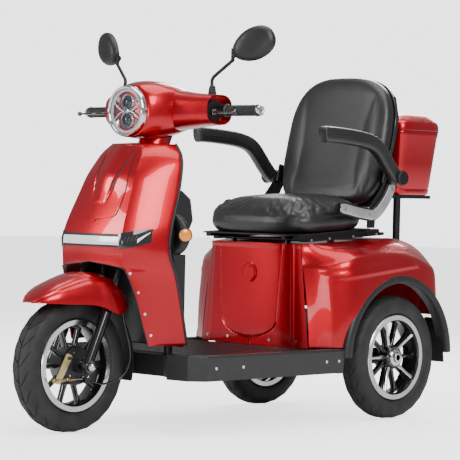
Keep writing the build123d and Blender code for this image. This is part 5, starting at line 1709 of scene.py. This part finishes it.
@dataclass
class Floor(SubAssembly):
    """Ribs and bars on the mat, and screws along the skirts."""

    rib_count: int = 47
    rib_step: float = 12.0
    bar_count: int = 9

    def build(self) -> None:
        """Builds the repeating floor details."""
        f, r = self.kit.layout.front, self.kit.layout.rear
        start, end = f(262), r(-390)
        section = ((-2.6, -0.5), (-1.6, 1.8), (1.6, 1.8), (2.6, -0.5))
        rib = grid("mat_rib", [[Vector((-276 + x, y, 240 + z)) for x, z in section] for y in (start, end)],
                   True, True, 20)
        ribs = self.kit.repeaters.along(rib, self.rib_count, (self.rib_step, 0, 0), self.material(Finish.FLOOR))
        ribs.name = "mat_ribs"
        self.wear(ribs, Finish.FLOOR)
        bars = []
        for k in range(self.bar_count):
            y = start + (end - start) * (k + 0.5) / self.bar_count
            outline = [Vector((x, y + d, 239.6)) for x, d in ((-280, -3), (280, -3), (280, 3), (-280, 3))]
            bars.append(double_sheet_disc("bar", outline, Vector((0, 0, 2.9))))
        self.wear(join("mat_bars", bars), Finish.FLOOR)
        spots = []
        for side in (1, -1):
            for y in (f(300), f(420), r(-360), r(-300)):
                spot = surface_x(self.kit.nodes["side_skirts"], side, y, 205)
                if spot:
                    spots.append((spot, (side, 0, 0)))
        if spots:
            self.studs("skirt_screws", spots, 5.0, 3.6, Finish.CHROME)


def surface_x(node: Object, side: int, y: float, z: float) -> Point | None:
    """Where a ray from the side first meets a node, in millimetres."""
    found, hit, _, _ = node.ray_cast(Vector((side * 0.6, y * MM, z * MM)), Vector((-side, 0, 0)))
    return tuple(c / MM for c in hit) if found else None


@dataclass
class TopBox(SubAssembly):
    """The red luggage box and its lid on the rack."""

    half: float = 186.0
    back: float = 402.0
    length: float = 230.0
    floor: float = 744.0
    rim: float = 966.0

    def ring(self, half: float, y0: float, y1: float, z: float, power: float = 7) -> list[Vector]:
        """A rounded rectangle at a height."""
        mid, deep = (y0 + y1) / 2, (y1 - y0) / 2
        return [Vector((x, mid + y, z)) for x, y in superellipse(half, deep, power, 88)]

    def build(self) -> None:
        """Builds box and lid."""
        r = self.kit.layout.rear
        half, y0, y1 = self.half, r(self.back - self.length), r(self.back)
        rows = []
        for t, grow in ((0.0, -7), (0.012, -2.5), (0.04, 0), (0.09, 0), (0.1, -1.6), (0.115, 0), (0.5, 0), (0.9, 0),
                        (0.93, 1.4), (0.985, 1.4), (0.998, 0), (1.0, -3)):
            rows.append(self.ring(half - 26 + 26 * t + grow, y0 + 14 - 14 * t - grow, y1 - 22 + 22 * t + grow,
                                  self.floor + 222 * t))
        inner = [self.ring(half - 5, y0 + 4, y1 - 4, self.rim - 0.5),
                 self.ring(half - 29, y0 + 19, y1 - 27, self.floor + 5)]
        self.wear(grid("top_box_skin", [*rows, *inner], True, True, 38), Finish.RED, "top_box")
        lid = [self.ring(half + 3 - draw, y0 - 3 + front, y1 + 3 - back, self.rim + 0.6 + rise, 6)
               for rise, draw, front, back in (
                   (0, 0, 0, 0), (1.5, -1, -1, -1), (14, -1, -1, -1), (26, 1.5, 2, 2), (32, 6, 7, 9), (40, 14, 24, 20),
                   (50, 24, 44, 34), (56, 32, 58, 46), (58, 40, 68, 56), (58.6, 80, 90, 80))]
        self.wear(grid("top_box_lid_skin", lid, True, True, 30), Finish.RED, "top_box_lid", body=Body.LID)
        seam = [self.ring(half + g, y0 - g, y1 + g, z) for g, z in (
            (-4, 964.5), (1.6, 964.5), (1.6, 967.0), (-4, 967.0), (-4, 964.5))]
        self.wear(grid("box_seal", seam, around=True), Finish.TRIM)
        lock = lathe("box_lock", [(-4, 0), (-4, 11), (1.5, 11), (3, 9.5), (3, 0)], (0, y1 - 1.5, 930), (0, 1, 0), 32)
        self.wear(lock, Finish.CHROME)


# ---- seat ----------------------------------------------------------------------------------------
@dataclass(frozen=True)
class Stuffing:
    """How a pad is inflated by the cloth solver."""

    voxel: float = 5.0
    pressure: float = 4.0
    frames: int = 20
    cap: float = 26.0

    def inflate(self, pad: Object, held: Callable[[Vector], bool]) -> Object:
        """Remeshes, inflates and smooths a pad.

        Args:
            pad: a closed form.
            held: tells which places, in metres, stay put.

        Returns:
            The same pad.
        """
        step = pad.modifiers.new("even", "REMESH")
        step.mode, step.voxel_size, step.use_smooth_shade = "VOXEL", self.voxel * MM, True
        freeze(pad)
        rest = [v.co.copy() for v in pad.data.vertices]
        group = pad.vertex_groups.new(name="held")
        group.add([v.index for v in pad.data.vertices if held(v.co)], 1.0, "REPLACE")
        cloth = pad.modifiers.new("fill", "CLOTH")
        rules = cloth.settings
        rules.quality, rules.mass = 5, 0.35
        rules.tension_stiffness = rules.compression_stiffness = 12
        rules.shear_stiffness, rules.bending_stiffness = 6, 4.0
        rules.use_pressure, rules.uniform_pressure_force = True, self.pressure
        rules.vertex_group_mass = group.name
        rules.effector_weights.gravity = 0.0
        cloth.point_cache.frame_start, cloth.point_cache.frame_end = 1, self.frames
        scene = bpy.context.scene
        for frame in range(1, self.frames + 1):
            scene.frame_set(frame)
        freeze(pad)
        limit = self.cap * MM
        for vertex, before in zip(pad.data.vertices, rest):
            move = vertex.co - before
            if move.length > limit:
                vertex.co = before + move * (limit / move.length)
        scene.frame_set(1)
        return pad


@dataclass
class Seat(SubAssembly):
    """Seat and back cushions, their piping, the armrests, the silver covers and the rail bolts."""

    home: Body = Body.SEAT
    stuffing: Stuffing = Stuffing()
    cushion_half: float = 228.0
    seat_tilt: float = 27 / 435
    lean: float = 14.3
    pivot_z: float = 800.0
    back_steps: int = 104

    def seat(self, x: float, s: float, t: float) -> Vector:
        """A place in the seat's own directions, in millimetres."""
        slope = self.seat_tilt
        size = hypot(1, slope)
        return Vector((x, self.kit.layout.rear(-338) + (s - t * slope) / size, 577 + (s * slope + t) / size))

    def back(self, x: float, v: float, n: float) -> Vector:
        """A place on the backrest: v up it from the pivot, n behind it."""
        c, s = cos(radians(self.lean)), sin(radians(self.lean))
        return Vector((x, self.kit.layout.rear(35) + v * s + n * c, self.pivot_z + v * c - n * s))

    def build(self) -> None:
        """Builds the seat."""
        self.seat_cushion()
        self.back_cushion()
        self.arms()
        self.covers()

    def pad(self, name: str, rows: Sequence[Sequence[Vector]], held: Callable[[Vector], bool], body: Body,
            node: str) -> None:
        """Closes rows into a form, stuffs it and keeps it."""
        form = grid(name, rows, True, True, 80)
        self.stuffing.inflate(form, held)
        fine = form.modifiers.new("smooth", "SMOOTH")
        fine.factor, fine.iterations = 0.5, 6
        round_off = form.modifiers.new("fine", "SUBSURF")
        round_off.levels = round_off.render_levels = 1
        freeze(form)
        for face in form.data.polygons:
            face.use_smooth = True
        self.wear(form, Finish.LEATHER, node, body=body)

    def seat_cushion(self) -> None:
        """A crowned cushion with a firm lower band and a drooping front roll."""
        rows = []
        for t in spread(0, 1, 15):
            pinch = 1 - 0.085 * abs(2 * t - 1) ** 3 - 0.02 * ridge(t, 0.56, 0.1, 1)
            height = 34.5 + 86 * t
            ring = []
            for x, s in superellipse(self.cushion_half * pinch, 181 * pinch, 4.2, 84):
                lift = t * t * (15 * (1 - (x / 232) ** 2) * (1 - (s / 190) ** 4) - 10 * max(-s - 120, 0) / 60)
                ring.append(self.seat(x, 140 + s, height + lift))
            rows.append(ring)
        floor = self.seat(0, 0, 40)
        band = [self.seat(0, s, 34.5 + 86 * 0.56).z * MM for s in (-40, 320)]

        def held(p: Vector) -> bool:
            """The base and a seam round the side stay put."""
            low = self.seat(0, (p.y - floor.y * MM) / MM, 44).z * MM
            seam = band[0] + (band[1] - band[0]) * (p.y - self.seat(0, -40, 80).y * MM) / 0.36
            return p.z < low or abs(p.z - seam) < 0.0022

        self.pad("seat_cushion_skin", rows, held, Body.SEAT, "seat_cushion")

    def back_edge(self, k: int, half: float, tall: float) -> tuple[float, float]:
        """A point of the backrest's outline, as x and height above the pivot: round above, squarer below."""
        across, upward = sin(tau * k / self.back_steps), cos(tau * k / self.back_steps)
        power = 2.9 if upward > 0 else 5.0
        return half * signed_power(across, 2 / power), 125 + tall * signed_power(upward, 2 / power)

    def back_cushion(self) -> None:
        """A tall pad with a rounded top, bolsters and two curved seams."""
        rows = []
        for n, inset, drop in ((14.5, 7, 7), (8, 2, 2), (-4, 0, 0), (-18, 0, 0), (-30, 3, 3), (-38, 10, 9),
                               (-43, 22, 20), (-44.5, 60, 52)):
            ring = []
            for k in range(self.back_steps):
                x, v = self.back_edge(k, 222 - inset, 225 - drop)
                bolster = 7 * (abs(x) / 222) ** 2 * (n < 0)
                ring.append(self.back(x * (1 - 0.05 * max((60 - v) / 160, 0)), v, n + bolster))
            rows.append(ring)
        base, along = self.back(0, 0, 0), (self.back(0, 1, 0) - self.back(0, 0, 0)).normalized()
        behind = (self.back(0, 0, 1) - self.back(0, 0, 0)).normalized()

        def held(p: Vector) -> bool:
            """The rear face and two seams stay put."""
            q = p / MM - base
            v, n = q.dot(along), q.dot(behind)
            if n > 6:
                return True
            seam = 126 + 26 * ((v - 70) / 200) ** 2
            return n < -20 and abs(abs(q.x) - seam) < 2.6 and v < 318

        self.pad("back_cushion_skin", rows, held, Body.BACKREST, "back_cushion")
        welt = [tuple(self.back(*self.back_edge(k, 222.5, 225.5), 13)) for k in range(self.back_steps + 1)]
        ring = tube("back_welt", welt, 3.4, 1, 8)
        self.wear(ring, Finish.LEATHER, body=Body.BACKREST)

    def arms(self) -> None:
        """Armrests: a padded top over a firm lower half, an arm that narrows, and a round knob."""
        y, z = self.kit.layout.rear(35), self.pivot_z
        top = [(-384, 134), (-366, 136), (-320, 135), (-250, 131), (-180, 124), (-130, 112), (-96, 92), (-66, 62),
               (-40, 34), (-14, 10), (0, 2)]
        pad = []
        path = smooth_path([(282, y + a, z + b) for a, b in top], 6)
        for i, p in enumerate(path):
            t = i / (len(path) - 1)
            rise = Vector(ACROSS).cross(heading(path, i))
            high = (24 if t < 0.5 else 24 - 4 * (t - 0.5)) * min(1, 0.55 + t * 16) ** 0.7
            wide = 20 * min(1, 0.7 + t * 10)
            rise = rise if rise.z > 0 else -rise
            pad.append([p + Vector((a, 0, 0)) + rise * b * (1.0 if b > 0 else 1.15)
                        for a, b in superellipse(wide, high, 3.4, 36)])
        sides = {"body": Body.ARM_LEFT, "other_body": Body.ARM_RIGHT}
        arm = grid("armrest", pad, True, True, 70)
        for piece in self.both(arm, "armrest_skin", Finish.LEATHER, "armrest_left", other_node="armrest_right",
                               **sides):
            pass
        for x, label in ((303.2, "out"), (260.8, "in")):
            line = tube(f"arm_seam_{label}", [(x, p[1], p[2] - 4) for p in path[2:26:3]], 1.7, 3, 8)
            self.both(line, f"arm_seam_{label}", Finish.TRIM, **sides)
        knob = [(-44, 0), (-44, 22), (-3, 23.5), (1, 25), (6, 24.5), (8, 21.5), (8, 18), (6, 16.8), (6, 12),
                (8.5, 10.5), (8.5, 0)]
        self.both(lathe("arm_knob", knob, (304.5, y, z), ACROSS, 56), "arm_knob", Finish.TRIM, **sides)
        flutes = []
        for k in range(18):
            c, s = cos(tau * k / 18), sin(tau * k / 18)
            ends = [(303, y + 24.6 * c, z + 24.6 * s), (310, y + 24.2 * c, z + 24.2 * s)]
            flutes.append(tube("flute", ends, 1.3, 2, 6))
        self.both(join("knob_flutes", flutes), "knob_flutes", Finish.TRIM, **sides)

    def covers(self) -> None:
        """Silver covers over the brackets with three rivets and a black border."""
        rear = self.kit.layout.rear
        line = [(rear(a), b) for a, b in ((-226, 698), (-190, 693), (-140, 684), (-90, 678), (-62, 676), (-30, 690),
                                          (4, 722), (26, 752), (40, 778))]
        for name, half, deep, x, finish in (("cover_border", 21.5, 7.0, 255.5, Finish.TRIM),
                                            ("cover", 16.0, 3.2, 262.0, Finish.SILVER)):
            path = smooth_path([(x, a, b) for a, b in line], 6)
            rows = []
            for i, p in enumerate(path):
                t = i / (len(path) - 1)
                side = Vector(ACROSS).cross(heading(path, i))
                end = min(t, 1 - t) * (len(path) - 1)
                k = half * (min(1.0, 0.55 + end * 0.16) ** 0.6)
                rows.append([p + Vector((a, 0, 0)) + side * b for b, a in superellipse(k, deep, 5, 28)])
            self.both(grid(name, rows, True, True, 45), name, finish)
        rivets = [((sign * 265.4, rear(a), b), (sign, 0, 0)) for sign in (1, -1)
                  for a, b in ((-206, 695), (-84, 678), (30, 762))]
        self.studs("cover_rivets", rivets, 6.4, 1.8, Finish.STEEL)
        bolts = [(tuple(self.seat(sign * 211.4, at, 11)), (sign, 0, 0)) for sign in (1, -1)
                 for at in (30, 120, 240, 360)]
        self.studs("rail_bolts", bolts, 4.6, 3.6, Finish.STEEL, body=Body.SEAT_BASE)


# ---- the rest ------------------------------------------------------------------------------------
@dataclass
class CadFinishes:
    """Finishes of the CAD nodes that stay in view."""

    kit: Kit
    TABLE: ClassVar[dict[Finish, tuple[str, ...]]] = {
        Finish.RED: ("rear_deck", "neck_sleeve", "charge_flap"),
        Finish.TRIM: ("inner_leg_shield", "floorboard", "batteries", "glovebox_door", "dash_cover", "switch_pods",
                      "back_shell", "ignition_key"),
        Finish.FLOOR: ("floor_mat",),
        Finish.GLOSS: ("fork_lowers", "brake_cable"),
        Finish.POWDER: ("main_frame", "rack", "fork_stem", "handlebar", "mirror_stems", "rear_axle", "seat_base",
                        "seat_frame", "slide_lever", "seat_brackets"),
        Finish.MACHINED: ("front_axle",),
        Finish.GREY: ("side_skirts", "brake_plate"),
        Finish.ZINC: ("brake_arm",),
        Finish.GLASS: ("headlight_lens",),
    }

    def apply(self) -> None:
        """Dresses every visible CAD node."""
        for finish, nodes in self.TABLE.items():
            for name in nodes:
                node = self.kit.nodes[name]
                material = self.kit.wardrobe.get(finish)
                if not node.data.materials:
                    node.data.materials.append(material)
                for slot in node.material_slots:
                    slot.link = "OBJECT"
                    slot.material = material
                log.info("dressed %s", name)


@dataclass
class Studio:
    """Pale floor, soft lights and the camera."""

    camera_place: Point = (4.9521, -5.2174, 0.7440)
    target: Point = (0.0, -0.0534, 0.6691)
    lens: float = 172.8
    shift: tuple[float, float] = (0.030, -0.035)
    roll: float = 1.3
    floor_glow: float = 1.9
    room_light: float = 0.34
    room_seen: float = 3.0
    floor_reach: float = 20000.0
    lamps: ClassVar[tuple[tuple, ...]] = (  # name, place, size, power and aim
        ("key", (4.2, -1.6, 3.4), (2.2, 2.6), 175, (0, 0, 0.6)),
        ("left_strip", (-2.6, -4.2, 2.2), (0.7, 3.0), 110, (0, -0.3, 0.6)),
        ("top", (0.3, 0.2, 4.2), (3.2, 3.6), 120, (0, 0, 0.5)),
        ("front_low", (2.4, -4.6, 0.9), (1.6, 0.9), 30, (0, -0.3, 0.5)),
        ("rim", (-1.6, 3.2, 2.8), (2.0, 1.4), 110, (0, 0, 0.7)))

    def build(self) -> None:
        """Builds floor, world, lights and camera."""
        reach = self.floor_reach
        points = [(-reach, -reach, 0), (reach, -reach, 0), (reach, reach, 0), (-reach, reach, 0)]
        floor = build_mesh("studio_floor", points, [(0, 1, 2, 3)], 80)
        paper = Shader("studio_paper")
        paper.set(Roughness=0.8, Emission_Color=(1.0, 1.0, 1.0, 1.0))
        tone = paper.ramp(paper.noise(0.6, 2), [(0.3, (0.86, 0.86, 0.865)), (0.7, (0.9, 0.9, 0.905))])
        paper.feed("Base Color", tone)
        seen = paper.nodes.new("ShaderNodeLightPath").outputs["Is Camera Ray"]
        paper.feed("Emission Strength", paper.times(seen, self.floor_glow))
        floor.data.materials.append(paper.material)
        world = bpy.data.worlds.new("soft_room")
        bpy.context.scene.world = world
        world.use_nodes = True
        nodes, links = world.node_tree.nodes, world.node_tree.links
        sky = nodes["Background"]
        sky.inputs["Color"].default_value = (0.97, 0.98, 1.0, 1.0)
        fit = nodes.new("ShaderNodeMapRange")
        fit.inputs["To Min"].default_value, fit.inputs["To Max"].default_value = self.room_light, self.room_seen
        links.new(nodes.new("ShaderNodeLightPath").outputs["Is Camera Ray"], fit.inputs["Value"])
        links.new(fit.outputs["Result"], sky.inputs["Strength"])
        for name, place_at, size, power, aim in self.lamps:
            light = bpy.data.lights.new(name, "AREA")
            light.shape, light.size, light.size_y, light.energy = "RECTANGLE", size[0], size[1], power
            lamp = bpy.data.objects.new(name, light)
            lamp.location = place_at
            lamp.rotation_euler = (Vector(aim) - Vector(place_at)).to_track_quat("-Z", "Y").to_euler()
            bpy.context.scene.collection.objects.link(lamp)
        self.camera()

    def camera(self) -> None:
        """Places the camera."""
        data = bpy.data.cameras.new("camera")
        data.lens, data.sensor_width = self.lens, 36.0
        data.shift_x, data.shift_y = self.shift
        data.clip_end = 100
        camera = bpy.data.objects.new("camera", data)
        place_at = Vector(self.camera_place)
        facing = (Vector(self.target) - place_at).to_track_quat("-Z", "Y").to_matrix().to_4x4()
        camera.matrix_world = Matrix.Translation(place_at) @ facing @ Matrix.Rotation(radians(self.roll), 4, "Z")
        bpy.context.scene.collection.objects.link(camera)
        bpy.context.scene.camera = camera


def main() -> None:
    """Builds the whole scene in order."""
    logging.basicConfig(level=logging.INFO, format="%(name)s: %(message)s")
    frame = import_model()
    layout = read_layout()
    kit = Kit(layout, Wardrobe(), Repeaters(), frame["nodes"])
    wheel_x = 288.0
    Wheel(kit, Body.FRONT_WHEEL, "front", 0.0, layout.front_axle).build()
    Wheel(kit, Body.REAR_LEFT, "rear_left", wheel_x, layout.rear_axle, 1).build()
    Wheel(kit, Body.REAR_RIGHT, "rear_right", -wheel_x, layout.rear_axle, -1).build()
    for part in (FrontFender(kit), ForkDetails(kit), LegShield(kit), Head(kit), Controls(kit), SeatBox(kit),
                 RearBody(kit), Floor(kit), TopBox(kit), Seat(kit)):
        log.info("building %s", type(part).__name__)
        part.build()
    CadFinishes(kit).apply()
    Studio().build()


if __name__ == "__main__":
    main()
